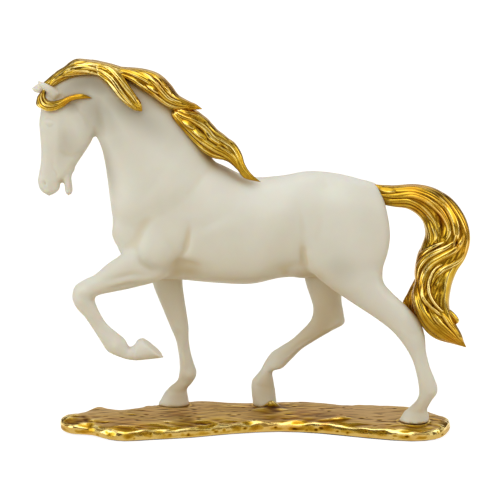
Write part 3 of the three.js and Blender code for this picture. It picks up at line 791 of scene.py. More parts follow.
# %% Strokes of the legs
NEAR_LEG_STROKES = [
    ([(-113, 114), (-98, 118), (-84, 122)], 1.7, -0.35),  # sinews of the forearm
    ([(-113, 110), (-98, 114), (-86, 117)], 1.7, 0.4),
    ([(-110, 106.5), (-94, 110.5)], 1.5, -0.3),
    ([(-77.5, 118.5), (-93, 119), (-107, 115)], 1.6, -0.8),  # tendons of the forearm
    ([(-80.5, 115), (-94.5, 114.5), (-108.5, 110.5)], 1.7, 0.6),
    ([(-84, 110.5), (-97, 110), (-108, 107)], 1.4, -0.6),
    ([(-130, 105)], 3.4, 0.7),  # knee
    ([(-131, 97)], 3.0, 0.4),
    ([(-124, 101), (-121, 95)], 2.0, -0.6),
    ([(-120.5, 84), (-114.5, 74.5), (-106.5, 67)], 1.3, -0.7),  # behind the cannon bone
    ([(-124, 80), (-117, 70), (-111.5, 62)], 1.6, 0.35),
    ([(-105.5, 61)], 3.2, 0.6),  # fetlock
    ([(-99, 56), (-94, 55.5)], 2, -0.4),
    ([(118, 85)], 4, 0.6),  # hock
    ([(121.5, 74), (128, 69)], 2.2, -0.6),
    ([(113, 78), (121, 66)], 2.0, 0.4),
    ([(130, 64), (133.2, 50), (135.8, 34)], 1.2, -0.7),
    ([(127, 60), (130, 46), (133, 32)], 1.6, 0.35),
    ([(138, 25)], 3.2, 0.6),
]
FAR_LEG_STROKES = [
    ([(-60, 100), (-62, 86), (-58, 76)], 2.4, -0.6),
    ([(-59, 66)], 3.6, 0.7),
    ([(-55.5, 62)], 2, -0.4),
    ([(-52.3, 58), (-51, 44), (-49.5, 32)], 1.2, -0.7),
    ([(-55.6, 58), (-54.3, 44), (-53, 32)], 1.6, 0.35),
    ([(-50.5, 26)], 3.2, 0.6),
    ([(-52, 18.5)], 1.3, 0.5),
    ([(60, 84), (66, 78)], 3, 0.6),
    ([(68, 74), (58, 66)], 2, -0.5),
    ([(50, 60), (38, 51.5), (28, 43)], 1.3, -0.7),
    ([(47, 56), (35, 48), (27, 40)], 1.6, 0.35),
    ([(18, 34)], 3.2, 0.6),
]
NEAR_HOOF_STROKES = [
    ([(-92.2, 48), (-89.8, 65)], 1.0, -0.55), ([(118.5, 9.6), (139, 8)], 1.0, -0.55),
]
FAR_HOOF_STROKES = [
    ([(-69.5, 13), (-50, 12)], 1.0, -0.55), ([(-1.5, 18.7), (20, 15)], 1.0, -0.55),
]
NEAR_LEG_WINDOW = (-33, -9)
FAR_LEG_WINDOW = (9, 33)
print("leg strokes", len(NEAR_LEG_STROKES) + len(FAR_LEG_STROKES))

# %% Strokes of the head and neck
HEAD_STROKES = [
    ([(-151, 243.5)], 4.0, -0.4),  # hollow over the eye
    ([(-158.5, 238.2), (-154.5, 239.8), (-149.5, 238)], 2.4, 0.5),  # brow
    ([(-154, 233.8)], 2.3, 0.6),  # eye
    ([(-157.6, 234.8), (-154.2, 236.4), (-150.6, 234.8)], 1.0, -0.35),
    ([(-157.2, 231.6), (-154, 230.2), (-150.8, 231.8)], 1.0, -0.4),
    ([(-154, 225)], 3.2, -0.3),
    ([(-147, 240), (-147.5, 225), (-148, 212), (-149.5, 196)], 3.2, 0.8),  # edge of the cheek
    ([(-141, 234), (-142, 214)], 5.0, -0.6),
    ([(-131, 224)], 9.0, 0.8),  # cheek
    ([(-137, 247), (-129.5, 238), (-125, 228)], 1.7, 0.4),
    ([(-132.5, 247), (-126.5, 240)], 1.6, 0.35),
    ([(-148, 210.8), (-141, 207.6), (-135, 206.6), (-127, 211)], 2.6, -0.7),
    ([(-125.5, 240), (-122, 231), (-122.6, 219)], 3.0, 0.4),  # edge of the jowl
    ([(-151.6, 206), (-152, 198), (-153, 190.5)], 2.4, -0.4),  # side of the nose
    ([(-157.4, 206), (-158.4, 197), (-159.2, 190.5)], 2.4, 0.35),
    ([(-141, 203.5), (-140, 197.5)], 3.0, 0.35),
    ([(-161.3, 188.8), (-158.6, 189.7), (-156.2, 187), (-156.4, 184)], 1.3, 0.45),  # nostril
    ([(-159.6, 187.4), (-158.4, 185.4), (-158.6, 183.6)], 1.2, -0.9),
    ([(-162.3, 183.8), (-159, 180.6), (-155, 178.6)], 1.5, 0.3),  # lips
    ([(-149, 190), (-149.4, 194), (-151, 197)], 1.2, -0.6),
    ([(-151.4, 182), (-152.4, 187)], 1.6, -0.25),
    ([(-143, 191.6), (-139.6, 194.6)], 1.8, -0.35),
    ([(-141.2, 188), (-140.6, 181.5)], 1.2, 0.25),
]
NECK_STROKES = [
    ([(-111, 214), (-105, 198), (-101, 182), (-98, 170)], 5, -0.5),  # groove of the throat
    ([(-104, 236), (-92, 214), (-82, 198)], 10, 0.5),
    ([(-116.5, 248), (-114.5, 231), (-114, 214)], 5, -1.9),  # behind the jowl
]
EAR_STROKES = [([(-166, 260), (-160, 257.6), (-153, 255)], 1.7, -1.3)]
HEAD_WINDOW = (-15, -1.5)
NECK_WINDOW = (-30, -4)
print("head strokes", len(HEAD_STROKES))

# %% Press the strokes into the skin
SEAMS = [
    [(-92, 132), (-76, 118), (-60, 118)], [(-84, 128), (-66, 120), (-50, 122)],
    [(38, 122), (50, 130), (60, 118)], [(42, 158), (56, 174), (84, 176), (105, 162)],
    [(27, 113), (44, 112)], [(-106, 150), (-100, 136), (-94, 128)],
    [(-120, 222), (-128, 234), (-134, 246)], [(-106, 156), (-92, 172), (-62, 190), (-33, 200)],
    [(-88, 160), (-72, 172), (-54, 168), (-50, 156)], [(72, 184), (58, 166), (48, 146)],
    [(-104, 136), (-80, 150), (-56, 163), (-30, 178), (-8, 190)],
    [(50, 174), (47, 152), (44.5, 138)],
]

SEAM_RADIUS = 11
SEAM_ROUNDS = 70
SEAM_PULL = 0.9
TRUNK_WINDOW = (-40, -6)
EAR_WINDOW = (-12, -5.6)
STROKE_ROUNDS = 3

near_seam = np.max([bell(skin[:, 0], skin[:, 2], line, SEAM_RADIUS) for line in SEAMS], axis=0)
skin = relaxed(skin, skin_edges, SEAM_ROUNDS, push=0.0, weight=near_seam * SEAM_PULL)
write_points(horse.data, skin)
facing = read_normals(horse.data)
moves = stroked(skin, facing, TRUNK_STROKES, TRUNK_WINDOW)
moves += stroked(skin * (1, -1, 1), facing, FAR_TRUNK_STROKES, TRUNK_WINDOW)
moves += stroked(skin, facing, NEAR_LEG_STROKES, NEAR_LEG_WINDOW)
moves += stroked(skin, facing, FAR_LEG_STROKES, FAR_LEG_WINDOW)
moves += stroked(skin, facing, NEAR_HOOF_STROKES, NEAR_LEG_WINDOW, all_round=True)
moves += stroked(skin, facing, FAR_HOOF_STROKES, FAR_LEG_WINDOW, all_round=True)
moves += stroked(skin, facing, HEAD_STROKES, HEAD_WINDOW, both_sides=True)
moves += stroked(skin, facing, NECK_STROKES, NECK_WINDOW, both_sides=True)
moves += stroked(skin, facing, EAR_STROKES, EAR_WINDOW, all_round=True)
skin = relaxed(skin + facing * moves[:, None], skin_edges, STROKE_ROUNDS)
write_points(horse.data, skin)
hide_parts("horse_body")
print("strokes move the skin by", moves.min().round(2), "to", moves.max().round(2), "mm")

# %% [markdown]
# The hollows are painted a warmer, darker tone, as painted shade. How deep a point lies is the
# distance, along its normal, to where its wider neighbourhood would put it. A grey-brown painted
# shade also lies beside the mane, behind the jowl and along the throat, where mane and head shade
# the neck, and a warm painted shade on the sheltered legs, under the belly and at the hooves. Soft
# strokes lay both down, like the ones that shaped the muscles.


# %% Hollow of each point
SKIN_MELT = (60, 0.8)


def hollow_of(mesh, points, edges, rounds, full):
    """-1 on a bump to 1 in a hollow: the push along the normal from a point to the place where
    some rounds of melting would put it, over a full depth in millimetres."""
    wide = relaxed(points, edges, rounds, push=0.0)
    depth = np.einsum("ij,ij->i", wide - points, read_normals(mesh))
    return np.clip(depth / full, -1, 1)


def write_values(mesh, name, values):
    """One number for each point, as an attribute that materials can read."""
    mesh.attributes.new(name, "FLOAT", "POINT").data.foreach_set("value", values)


# Painted shade beside the mane, behind the jowl, along the throat and in a few hollows of head and
# body.
PAINTED_SHADE_STROKES = [
    # line, radius, strength
    ([(-146, 254), (-136, 263), (-122, 266), (-108, 261), (-98, 250)], 10, 1.0),
    ([(-126, 258), (-115, 240), (-109, 222)], 13, 0.6),
    ([(-113, 222), (-110, 200), (-106, 180)], 5, 0.45),
    ([(-126, 265), (-108, 256), (-96, 246), (-80, 236), (-62, 222)], 11, 0.65),
    ([(-142, 246), (-128, 245)], 5, 0.5),
    ([(-139, 230), (-142, 205)], 7, 0.3),
    ([(60, 134), (68, 122), (78, 111)], 12, 0.3),
    ([(-86, 134), (-79, 126), (-67, 121)], 4.5, 0.22),
]
# Warm painted shade on the sheltered legs, under the belly, behind the elbow and at the hooves.
PAINTED_WARM_SHADE_STROKES = [
    ([(54, 112), (60, 84), (54, 66), (34, 52), (18, 42)], 14, 0.75),
    ([(14, 30), (10, 4)], 11, 0.72),
    ([(-66, 116), (-61, 82), (-55, 52)], 11, 0.25),
    ([(-54, 30), (-62, 4)], 11, 0.75),
    ([(133, 22), (126, 3)], 11, 0.6),
    ([(34, 112), (58, 114)], 8, 0.75),
    ([(-40, 112), (0, 110), (30, 114)], 7, 0.25),
    ([(-60, 124), (-48, 121), (-36, 121)], 6.5, 0.8),
    ([(-80, 122), (-100, 115), (-118, 108)], 9, 0.22),
]


def painted_shade_of(points, strokes):
    """The strongest of some strokes at each point, seen from the side."""
    x, z = points[:, 0], points[:, 2]
    return np.max([strength * bell(x, z, line, r) for line, r, strength in strokes], axis=0)


skin_hollow_shade = hollow_of(horse.data, skin, skin_edges, *SKIN_MELT)
# Painted shade: warmer tones for the hollows, beside the mane and behind the jowl, and on the
# sheltered legs and hooves.
write_values(horse.data, "hollow", skin_hollow_shade)
write_values(horse.data, "painted_shade", painted_shade_of(skin, PAINTED_SHADE_STROKES))
write_values(horse.data, "painted_warm_shade", painted_shade_of(skin, PAINTED_WARM_SHADE_STROKES))
print("hollow values", skin_hollow_shade.min().round(2), skin_hollow_shade.max().round(2))

# %% [markdown]
# The resin is translucent: light goes in a few millimetres and comes out warmer, so the creases
# glow instead of turning grey. Its satin skin has faint clouds of tone and a very fine unevenness
# from the mould. Subsurface scattering does the first, noise on Object coordinates the rest. In
# the shelter of the belly and between the legs an ambient occlusion node paints a warmer, darker
# shade into the colour, for light that has crossed the resin more than once.

# %% Noise, attributes and bumps
def attribute(tree, name, output="Fac"):
    """What the mesh carries at each point under a name."""
    return node(tree, "Attribute", {}, attribute_name=name).outputs[output]


def noise(tree, vector, scale, detail):
    """Noise from 0 to 1 over a vector."""
    values = {"Vector": vector, "Scale": scale, "Detail": detail}
    return node(tree, "TexNoise", values).outputs["Fac"]


def bumped(tree, height, strength, distance, **more):
    """The surface's normal tilted by the slope of a height times a distance in metres."""
    values = {"Height": height, "Strength": strength, "Distance": distance, **more}
    return node(tree, "Bump", values).outputs["Normal"]


def new_material(name):
    """A material with a Principled BSDF, and both as a pair."""
    made = bpy.data.materials.new(name)
    made.use_nodes = True
    return made, made.node_tree.nodes["Principled BSDF"]


print("noise, attributes and bumps ready")

# %% White resin
RESIN_LIGHT = (0.85, 0.852, 0.785, 1.0)
RESIN_CLOUD = (0.82, 0.812, 0.735, 1.0)
# The next four colours are painted shade: for the hollows, the sheltered places, beside the mane and
# on the sheltered legs.
RESIN_HOLLOW_SHADE = (0.78, 0.72, 0.58, 1.0)
RESIN_SHELTER_SHADE = (0.56, 0.42, 0.21, 1.0)
RESIN_PAINTED_SHADE = (0.42, 0.39, 0.31, 1.0)
RESIN_PAINTED_WARM_SHADE = (0.60, 0.50, 0.31, 1.0)
CLOUD_SCALE = 22.0
SWELL_SCALE = 120.0
GRAIN_SCALE = 900.0
SHELTER_REACH = 0.034

resin, resin_shader = new_material("white_resin")
tree = resin.node_tree
where = object_place(tree)
clouds = noise(tree, where, CLOUD_SCALE, 4.0)
tone = mixed(tree, ranged(tree, clouds, (0.38, 0.66)), RESIN_LIGHT, RESIN_CLOUD)
# Painted shade in the hollows, beside the mane and behind the jowl, and on the sheltered legs and
# hooves.
tone = mixed(tree, ranged(tree, attribute(tree, "hollow"), (0.05, 0.75)), tone, RESIN_HOLLOW_SHADE)
tone = mixed(tree, attribute(tree, "painted_shade"), tone, RESIN_PAINTED_SHADE)
tone = mixed(tree, attribute(tree, "painted_warm_shade"), tone, RESIN_PAINTED_WARM_SHADE)
# Painted shade: where ambient occlusion finds shelter, the colour turns warmer and darker.
ao_for_shelter_shade = node(tree, "AmbientOcclusion", {"Distance": SHELTER_REACH}, samples=8).outputs["AO"]
tone = mixed(tree, ranged(tree, ao_for_shelter_shade, (0.78, 0.25)), tone, RESIN_SHELTER_SHADE)
swell = bumped(tree, noise(tree, where, SWELL_SCALE, 2.0), 0.10, 0.0012)
grain = bumped(tree, noise(tree, where, GRAIN_SCALE, 2.0), 0.08, 0.0003, Normal=swell)
satin = ranged(tree, clouds, to=(0.36, 0.5))
feed(resin_shader, {"Base Color": tone, "Roughness": satin, "Normal": grain, "IOR": 1.48})
feed(resin_shader, {"Subsurface Weight": 0.55, "Subsurface Scale": 0.004})
feed(resin_shader, {"Subsurface Radius": (1.0, 0.62, 0.34)})
lay_out(tree)
horse.data.materials.append(resin)
print("white resin ready")

# %% [markdown]
# ## The gold hair
# On the real piece each lock is a gold casting, carved as bands of hair that cross, gather to
# points and leave deep grooves between them. It could be made of hundreds of separate strands,
# but a casting is one skin. So each lock is one fine grid wrapped round its own loft, and every
# band raises that grid along a line of the side view. Where two bands meet the higher one wins,
# which gives the sharp valley that a carver's tool leaves.

# %% Ribs of the locks
TAIL = [
    (88, 184.8, 97, 172, 3, 0), (95.5, 184.6, 103, 167.5, 6, 0),
    (109.5, 183.6, 110.5, 165.5, 8, 0),
    (122, 184, 119, 164.5, 9.5, 0), (134.5, 183, 126, 161, 11, 0),
    (147, 178.5, 131, 156, 12.5, -1), (157.5, 170.5, 133.5, 149, 13.5, -2),
    (166, 159, 133.5, 141.5, 14, -3), (170, 143.5, 130.5, 133, 14, -5),
    (166.5, 128.5, 127.5, 125, 13.5, -8), (159.5, 117, 126, 117, 13, -11),
    (155, 105, 126, 109.5, 12.5, -14), (153, 94.5, 123, 101, 12, -17),
    (153.5, 87.5, 125, 89, 11, -20), (158.5, 77.5, 132, 75, 9, -22),
    (163.5, 69.5, 141, 67, 7, -23),
]
TAIL_FAR_STRAND = [
    (147, 124, 130, 118, 5, -8), (143, 113, 125.2, 108.5, 5.5, -8.5),
    (139, 102, 120.3, 98, 5.4, -8.5), (135.5, 91, 117.2, 91, 4.6, -8.5),
    (134.5, 81, 120.5, 80.5, 3.6, -8.5),
]
CREST_RIDGE = [
    (-160, 262.6, -156, 257.5, 3.6, -2), (-156, 266.2, -152, 258.5, 5.6, -2),
    (-151, 270.4, -147, 261.5, 7.2, -1.5),
    (-143.5, 275, -140.5, 264.5, 8, -1), (-134, 281, -132, 267, 9.5, -1),
    (-124, 281, -123, 268, 10, -1), (-113.5, 279, -115, 267, 10, -1),
    (-101.5, 276.5, -106, 265, 9.5, -2), (-90, 274.5, -94, 266.5, 8, -2),
]
HANGING_LOCK = [
    (-119.5, 279, -116.5, 268.5, 5, -6), (-107.5, 278, -110.4, 264, 5, -9),
    (-98.8, 272.5, -105.4, 259, 4.8, -12), (-92, 263.5, -99.8, 252.4, 4.6, -14),
    (-86.5, 255.5, -93.6, 246.6, 4.2, -15.5), (-82.8, 249.5, -88.2, 243.6, 3.2, -16),
]
MIDDLE_LOCK = [
    (-104, 276, -101.5, 266, 8, -2), (-92, 275, -94, 263.5, 9.5, -2),
    (-78.5, 273, -85, 257.4, 10.5, -3), (-68.5, 269, -76.4, 252, 11, -3.5),
    (-61, 261.5, -69, 246.6, 11, -4), (-55.5, 254.5, -61.5, 242.6, 9.5, -5),
    (-48.5, 250.5, -53.5, 241.5, 7, -6), (-41.5, 247.5, -44, 242.5, 4, -6.5),
]
REAR_LOCK = [
    (-52, 249, -63.5, 242, 8, -4), (-46, 245, -60.5, 235, 10, -4),
    (-38.5, 240, -55, 229, 11, -4),
    (-32.5, 235, -50, 223, 11.5, -4), (-26.5, 227.5, -44, 217, 11.5, -5),
    (-19, 222, -38, 210.5, 11, -6), (-12, 217, -30, 205.5, 9, -7.5),
    (-7, 209.5, -18.4, 203.4, 7, -9), (-4.5, 202, -11, 197, 5.2, -11),
    (-0.5, 196, -6, 191, 4, -13),
]
FORELOCK = [
    (-160, 258, -152, 262, 5, 0), (-164, 252, -156.5, 255, 5.4, -2),
    (-164.5, 246.5, -156, 251.5, 5.2, -5.5), (-159, 243, -151.5, 250, 4.4, -8.5),
    (-150, 242.2, -146.5, 251, 4, -10.5), (-142.6, 245.2, -140, 254, 3.4, -10.8),
    (-137, 249.6, -134, 256, 2.8, -11), (-129.5, 251.4, -127.5, 256, 2.2, -11),
]
CURL = [
    (149, 93, 146.5, 88.5, 3, -21), (154.5, 89.5, 151.5, 84.5, 3.2, -22),
    (159, 85, 155, 81, 2.8, -22.5), (160.8, 80.5, 156.8, 79, 2.2, -22.5),
]
LOCKS = {
    # ribs, tip, squareness of the section, ridges of the ground; then, where not as usual, the
    # share that is rounded off, the size of a cell and the height of the finest strands
    "tail": {"ribs": TAIL, "tip": (166.5, -24, 60), "squareness": 2.3, "ridges": 22},
    "far_strand": {"ribs": TAIL_FAR_STRAND, "tip": (131, -9, 71), "squareness": 2.3, "ridges": 8},
    "curl": {"ribs": CURL, "tip": (156, -22, 76.8), "squareness": 2.0, "ridges": 5, "start": 0.1},
    "crest": {"ribs": CREST_RIDGE, "tip": None, "squareness": 2.5, "ridges": 14, "start": 0.05},
    "hanging": {"ribs": HANGING_LOCK, "tip": (-82.6, -16.4, 243.2), "squareness": 2.5, "ridges": 9},
    "middle": {"ribs": MIDDLE_LOCK, "tip": (-37, -7, 243.5), "squareness": 2.5, "ridges": 11},
    "rear": {"ribs": REAR_LOCK, "tip": (7.5, -15.5, 188.5), "squareness": 2.5, "ridges": 11},
    "fore": {"ribs": FORELOCK, "tip": (-120.5, -10.4, 252.4), "squareness": 2.5, "ridges": 7},
}
for name in ("tail", "middle", "rear"):
    LOCKS[name]["fine"] = 0.15
for name in ("crest", "hanging", "middle", "rear"):
    LOCKS[name]["cell"] = 0.48
LOCKS["rear"]["start"] = 0.05
for name in ("far_strand", "curl", "fore"):
    LOCKS[name]["cell"] = 0.36
print("locks", list(LOCKS))


# %% The surface of a lock
LAST_SHARE = 0.998


def lock_point(lock, along, angle):
    """Points on a lock: along runs 0 to 1 from root to tip, and the angle is 0 on the first
    edge, a quarter turn on the near side and half a turn on the second edge."""
    last = len(lock["ribs"]) - 1 + (lock["tip"] is not None)
    at = np.clip(along, 0, LAST_SHARE) * last
    edge_a, edge_b, width = rib_curves(lock["ribs"], at, lock["tip"])
    half = (edge_a - edge_b) / 2
    point = (edge_a + edge_b) / 2 + half * bulge(np.cos(angle), lock["squareness"])[:, None]
    point[:, 1] -= width * bulge(np.sin(angle), lock["squareness"])
    return point


print("a lock's surface can be read anywhere")


# %% A lock as an even grid
HAIR_CELL = 0.54
TRIES = 300
SECTION_PLACE = 0.4
SMALLEST_SECTION = 0.0025


def even_steps(points, at, cell):
    """The places that cut a line of points into equal steps of about a cell."""
    length = np.concatenate([[0], np.cumsum(np.linalg.norm(np.diff(points, axis=0), axis=1))])
    return np.interp(np.linspace(0, length[-1], int(length[-1] / cell) + 2), length, at)


def lock_grid(lock, cell):
    """Points of a lock, rows along it and columns round it, an even step apart both ways. Its
    sections are drawn in over the first rows by a quarter circle, which rounds off the start."""
    tries, turn = np.linspace(0, 1, TRIES), np.linspace(0, 2 * np.pi, TRIES)
    near_side = lock_point(lock, tries, np.full(TRIES, np.pi / 2))
    section = lock_point(lock, np.full(TRIES, SECTION_PLACE), turn)
    along = even_steps(near_side, tries, cell)
    angle = even_steps(section, turn, cell)[:-1]
    every_along, every_angle = np.meshgrid(along, angle, indexing="ij")
    grid = lock_point(lock, every_along.ravel(), every_angle.ravel())
    grid = grid.reshape(len(along), len(angle), 3)
    middle = grid.mean(1, keepdims=True)
    start = np.clip(along / max(lock.get("start", 0.0), 1e-6), 0, 1)
    round_off = np.sqrt(np.maximum(1 - (1 - start) ** 2, SMALLEST_SECTION))
    return middle + (grid - middle) * round_off[:, None, None], every_along, every_angle


def grid_normals(grid):
    """The cross product of the step along and the step round, turned outwards."""
    along = np.gradient(grid, axis=0)
    turn = np.roll(grid, -1, axis=1) - np.roll(grid, 1, axis=1)
    normal = np.cross(along, turn)
    normal /= np.maximum(np.linalg.norm(normal, axis=-1, keepdims=True), 1e-9)
    outward_share = np.einsum("ijk,ijk->", normal, grid - grid.mean(1, keepdims=True))
    return normal * np.sign(outward_share)


print("cells of the hair", HAIR_CELL, "mm")


# %% Bands of hair
GROUND_RIDGE = 0.40
GROUND_STRAND = 0.15
BAND_RIDGE = 0.40
BAND_STRAND = 0.12
LONG_SLOPE = 1.4
SHORT_SLOPE = 0.6


def comb_ridges(across, strands):
    """Round crests with sharp valleys: the size of a cosine, to the power 0.8."""
    return np.abs(np.cos(np.pi * strands * across / 2)) ** 0.8


def raise_bands(lock, grid, every_along, every_angle, seed):
    """The height of each grid point and the flow of the hair there.

    The ground is long ridges round the lock. A band is a leaf-shaped dome along its line: its
    width goes with the root of a sine of the share of its length, its height with the root of
    1 - across^2, and its strands are ridges that close up towards both of its ends. A band with
    no strands is a smooth facet: a long slope on its upper side and a short one below.
    """
    random = np.random.default_rng(seed)
    x, z = grid[..., 0].ravel(), grid[..., 2].ravel()
    along, angle = every_along.ravel(), every_angle.ravel()
    wander = 0.5 * np.sin(5.0 * along + random.uniform(0, 6)) * np.abs(np.sin(angle))
    ridges, fineness = lock["ridges"], lock.get("fine", 1.0)
    height = GROUND_RIDGE * comb_ridges(angle + wander, ridges / np.pi)
    height += GROUND_STRAND * fineness * comb_ridges(angle - wander, 2.6 * ridges / np.pi)
    flow = np.stack([angle * 8.0, along * 90.0, np.zeros(len(x))], axis=1)
    for number, (line, half_width, rise, strands) in enumerate(lock["bands"]):
        path = smooth(line, np.linspace(0, len(line) - 1, 7 * len(line)))
        low, high = path.min(0) - half_width, path.max(0) + half_width
        some = np.flatnonzero((x > low[0]) & (x < high[0]) & (z > low[1]) & (z < high[1]))
        gap, share, length = nearest_on(path, x[some], z[some])
        leaf = np.maximum(np.sin(np.pi * share), 0.0) ** 0.5
        across = gap / (half_width * np.maximum(leaf, 0.1))
        sway = 0.12 * np.sin(2 * np.pi * (1.6 * share + random.uniform(0, 1)))
        if strands:
            body = np.sqrt(np.clip(1 - across**2, 0, 1))
            coarse = comb_ridges(across + sway + 1.0 / strands, strands)
            fine = comb_ridges(across - sway, 2.7 * strands)
            grooves = (BAND_RIDGE * coarse + BAND_STRAND * fineness * fine) * body * leaf
            raised = (rise * leaf + 0.35) * body + grooves - 0.3
        else:
            slopes = np.minimum((1 - across) / LONG_SLOPE, (1 + across) / SHORT_SLOPE)
            facet = np.clip(slopes, 0, 1)
            raised = (0.7 + rise * facet) * leaf - 0.1
        better = (np.abs(across) < 1) & (raised > height[some])
        height[some[better]] = raised[better]
        band_flow = np.stack([gap, share * length, np.full(len(some), 9.0 * number)], axis=1)
        flow[some[better]] = band_flow[better]
    for line, radius, depth in lock.get("hollows", ()):
        height -= depth * bell(x, z, line, radius)
    return height.reshape(grid.shape[:2]), flow


print("bands rise by ridges of", BAND_RIDGE, "mm")

# %% Locks as skins
HAIR_SINK = 1.15
FULL_HOLD = 5.0
NARROW_MELT = (4, 0.16)
BROAD_MELT = (26, 0.7)


def lock_skin(lock, seed):
    """The points, faces and flow of one lock. The whole skin is sunk by a little more than most
    bands rise, and the height fades out at the last rows, so that the tip stays sharp."""
    grid, every_along, every_angle = lock_grid(lock, lock.get("cell", HAIR_CELL))
    height, flow = raise_bands(lock, grid, every_along, every_angle, seed)
    size = np.linalg.norm(grid - grid.mean(1, keepdims=True), axis=-1).mean(1)
    hold = np.clip(size / FULL_HOLD, 0.1, 1.0)[:, None]
    grid = grid + grid_normals(grid) * ((height - HAIR_SINK) * hold)[..., None]
    return *capped(grid), np.vstack([flow, flow[:1], flow[-1:]])


def hair_piece(name, locks, seed, replaced):
    """The skins of some locks as one piece that stands for its CAD node, with two attributes:
    flow, which runs across, along and from band to band, and relief, 0 in the grooves, which
    paints dark lacquer and painted shade there and a painted highlight on the crests."""
    skins = [lock_skin(LOCKS[lock], seed + number) for number, lock in enumerate(locks)]
    points, faces = merged([skin[:2] for skin in skins])
    piece = new_piece(name, points, faces)
    mesh = piece.data
    flow = np.vstack([skin[2] for skin in skins])
    mesh.attributes.new("flow", "FLOAT_VECTOR", "POINT").data.foreach_set("vector", flow.ravel())
    edges, points = read_edges(mesh), read_points(mesh)
    narrow = hollow_of(mesh, points, edges, *NARROW_MELT)
    broad = hollow_of(mesh, points, edges, *BROAD_MELT)
    # Dark lacquer and painted shade in the narrow and broad hollows, rubbed wear and a painted
    # highlight on the crests.
    write_values(mesh, "lacquer_and_painted_light", np.clip(0.66 - 0.34 * narrow - 0.42 * broad, 0, 1))
    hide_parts(replaced)
    print(name, len(locks), "locks", sum(len(face) - 2 for face in faces), "triangles")
    return piece


print("skins are sunk by", HAIR_SINK, "mm")

# %% [markdown]
# ### The tail
# The tail arches back from the croup, swells, and hangs in an S to a point beside the hock. Seen
# from the near side, long ropes follow the arch, an eddy opens in its middle, and a second family
# crosses from the outer edge to the inner one before the ends gather at the tip.

# %% Tail
LOCKS["tail"]["bands"] = [
    # line in the side view, half width, rise, strands
    ([(96, 184), (110, 183.5), (126.5, 185), (146, 179.5), (160, 164.5), (167, 145),
      (164.5, 130.5), (157, 118), (153.5, 103.5)], 4.2, 0.75, 3),
    ([(98, 180.5), (112, 181), (127.5, 181.5), (142.5, 175.5), (153.5, 163.5), (158, 151),
      (155, 140), (148, 134)], 3.4, 1.35, 2),
    ([(98, 176), (112, 176.5), (124, 177.5), (137, 172.5), (147.5, 162.5), (152, 151),
      (149, 142)], 3.4, 1.5, 2),
    ([(98, 171), (112, 172), (121, 172), (130.5, 167.5), (138.5, 159.5), (142.5, 152),
      (144.5, 146.5)], 2.6, 0.95, 2),
    ([(98, 168), (112, 168), (122, 167), (129, 162.5), (134.5, 154.5), (137, 146.5),
      (136.5, 138.5)], 3.0, 0.85, 3),
    ([(129, 158), (131.5, 149), (132, 140), (129.5, 131.5), (126.5, 123), (125.5, 113),
      (125.5, 102)], 2.6, 0.8, 2),
    ([(136, 158), (140, 151.5), (141.5, 146), (139.5, 141)], 1.9, 0.95, 1),
    ([(165, 152), (162.5, 143), (156, 136), (147, 131.5), (138.5, 126.5), (132.5, 118.5),
      (130, 109), (129.5, 100)], 3.4, 1.15, 3),
    ([(156.5, 143), (150, 138.5), (142, 134.5), (134, 129.5), (128.5, 122), (127, 112)],
     2.6, 1.7, 2),
    ([(149, 142.5), (142, 139.5), (134.5, 134.5), (128.5, 127.5), (127, 120)], 1.7, 1.6, 1),
    ([(166.5, 138), (162, 129), (155, 124.5), (147.5, 121.5), (141.5, 116.5), (137.5, 108.5)],
     2.8, 1.0, 3),
    ([(147.5, 126), (140.5, 121.5), (136.8, 114), (136.4, 105), (139.5, 98), (145.5, 91.5),
      (151.5, 86.5)], 1.35, 1.9, 1),
    ([(134, 118), (131, 109), (131.5, 101), (136.5, 94.5), (143, 89.5), (150, 85)], 1.7, 1.35, 1),
    ([(159.5, 127), (153, 117.5), (150.6, 106.5), (150.4, 96), (153.8, 86), (159.5, 75.5),
      (165.5, 64)], 4.8, 1.5, 0),
    ([(142, 177), (150.5, 168.5), (155.8, 157.5), (157, 145)], 3.8, 1.8, 0),
    ([(98, 181.5), (105.5, 180.5), (113, 181)], 3.2, 1.3, 0),
    ([(126, 112), (126.5, 101.5), (130.5, 91), (137.5, 80), (148.5, 70), (161, 62.5)],
     4.4, 1.15, 2),
    ([(134.5, 99), (138, 91), (145, 81), (154, 72), (164, 62)], 2.7, 1.25, 2),
    ([(144, 92), (149.5, 85), (156, 76), (164.5, 63.5)], 2.4, 1.45, 2),
    ([(137, 84), (145, 77), (154, 70.5), (163, 62.5)], 1.8, 1.3, 1),
]
LOCKS["tail"]["hollows"] = [
    ([(143, 162), (146.2, 154), (146.6, 146)], 2.2, 2.0), ([(132, 161), (135, 154)], 1.8, 1.3),
    ([(143.5, 119), (140.5, 112), (140, 104)], 2.4, 1.9), ([(145.5, 112), (144.5, 103)], 3.0, 1.1),
    ([(133, 97), (137, 91), (143, 86)], 2.5, 1.8), ([(157.5, 145), (158.5, 138)], 1.6, 1.5),
]
LOCKS["far_strand"]["bands"] = [
    ([(136, 122), (129, 108), (123.5, 98), (124, 86), (130, 73)], 3.0, 0.9, 2),
    ([(131, 120), (124.5, 108), (119, 98), (120, 88), (126, 77)], 2.2, 0.9, 1),
    ([(142, 118), (136, 106), (131, 95), (130, 84), (132, 74)], 2.8, 0.8, 2),
]
LOCKS["curl"]["bands"] = [([(151, 92), (155.5, 86.5), (159, 81.5), (156.5, 77.5)], 2.0, 0.7, 1)]
tail_hair = hair_piece("tail_hair", ["tail", "far_strand", "curl"], 11, "tail")

# %% [markdown]
# ### The mane and the forelock
# The mane is four castings pinned along the crest. Their bands all start at the middle line of
# the neck and fall towards the near side, thin and even on the hanging lock, broad and shining on
# the two long ones. A band without strands is a smooth facet with its long slope on one side, and
# those facets carry the big highlights.

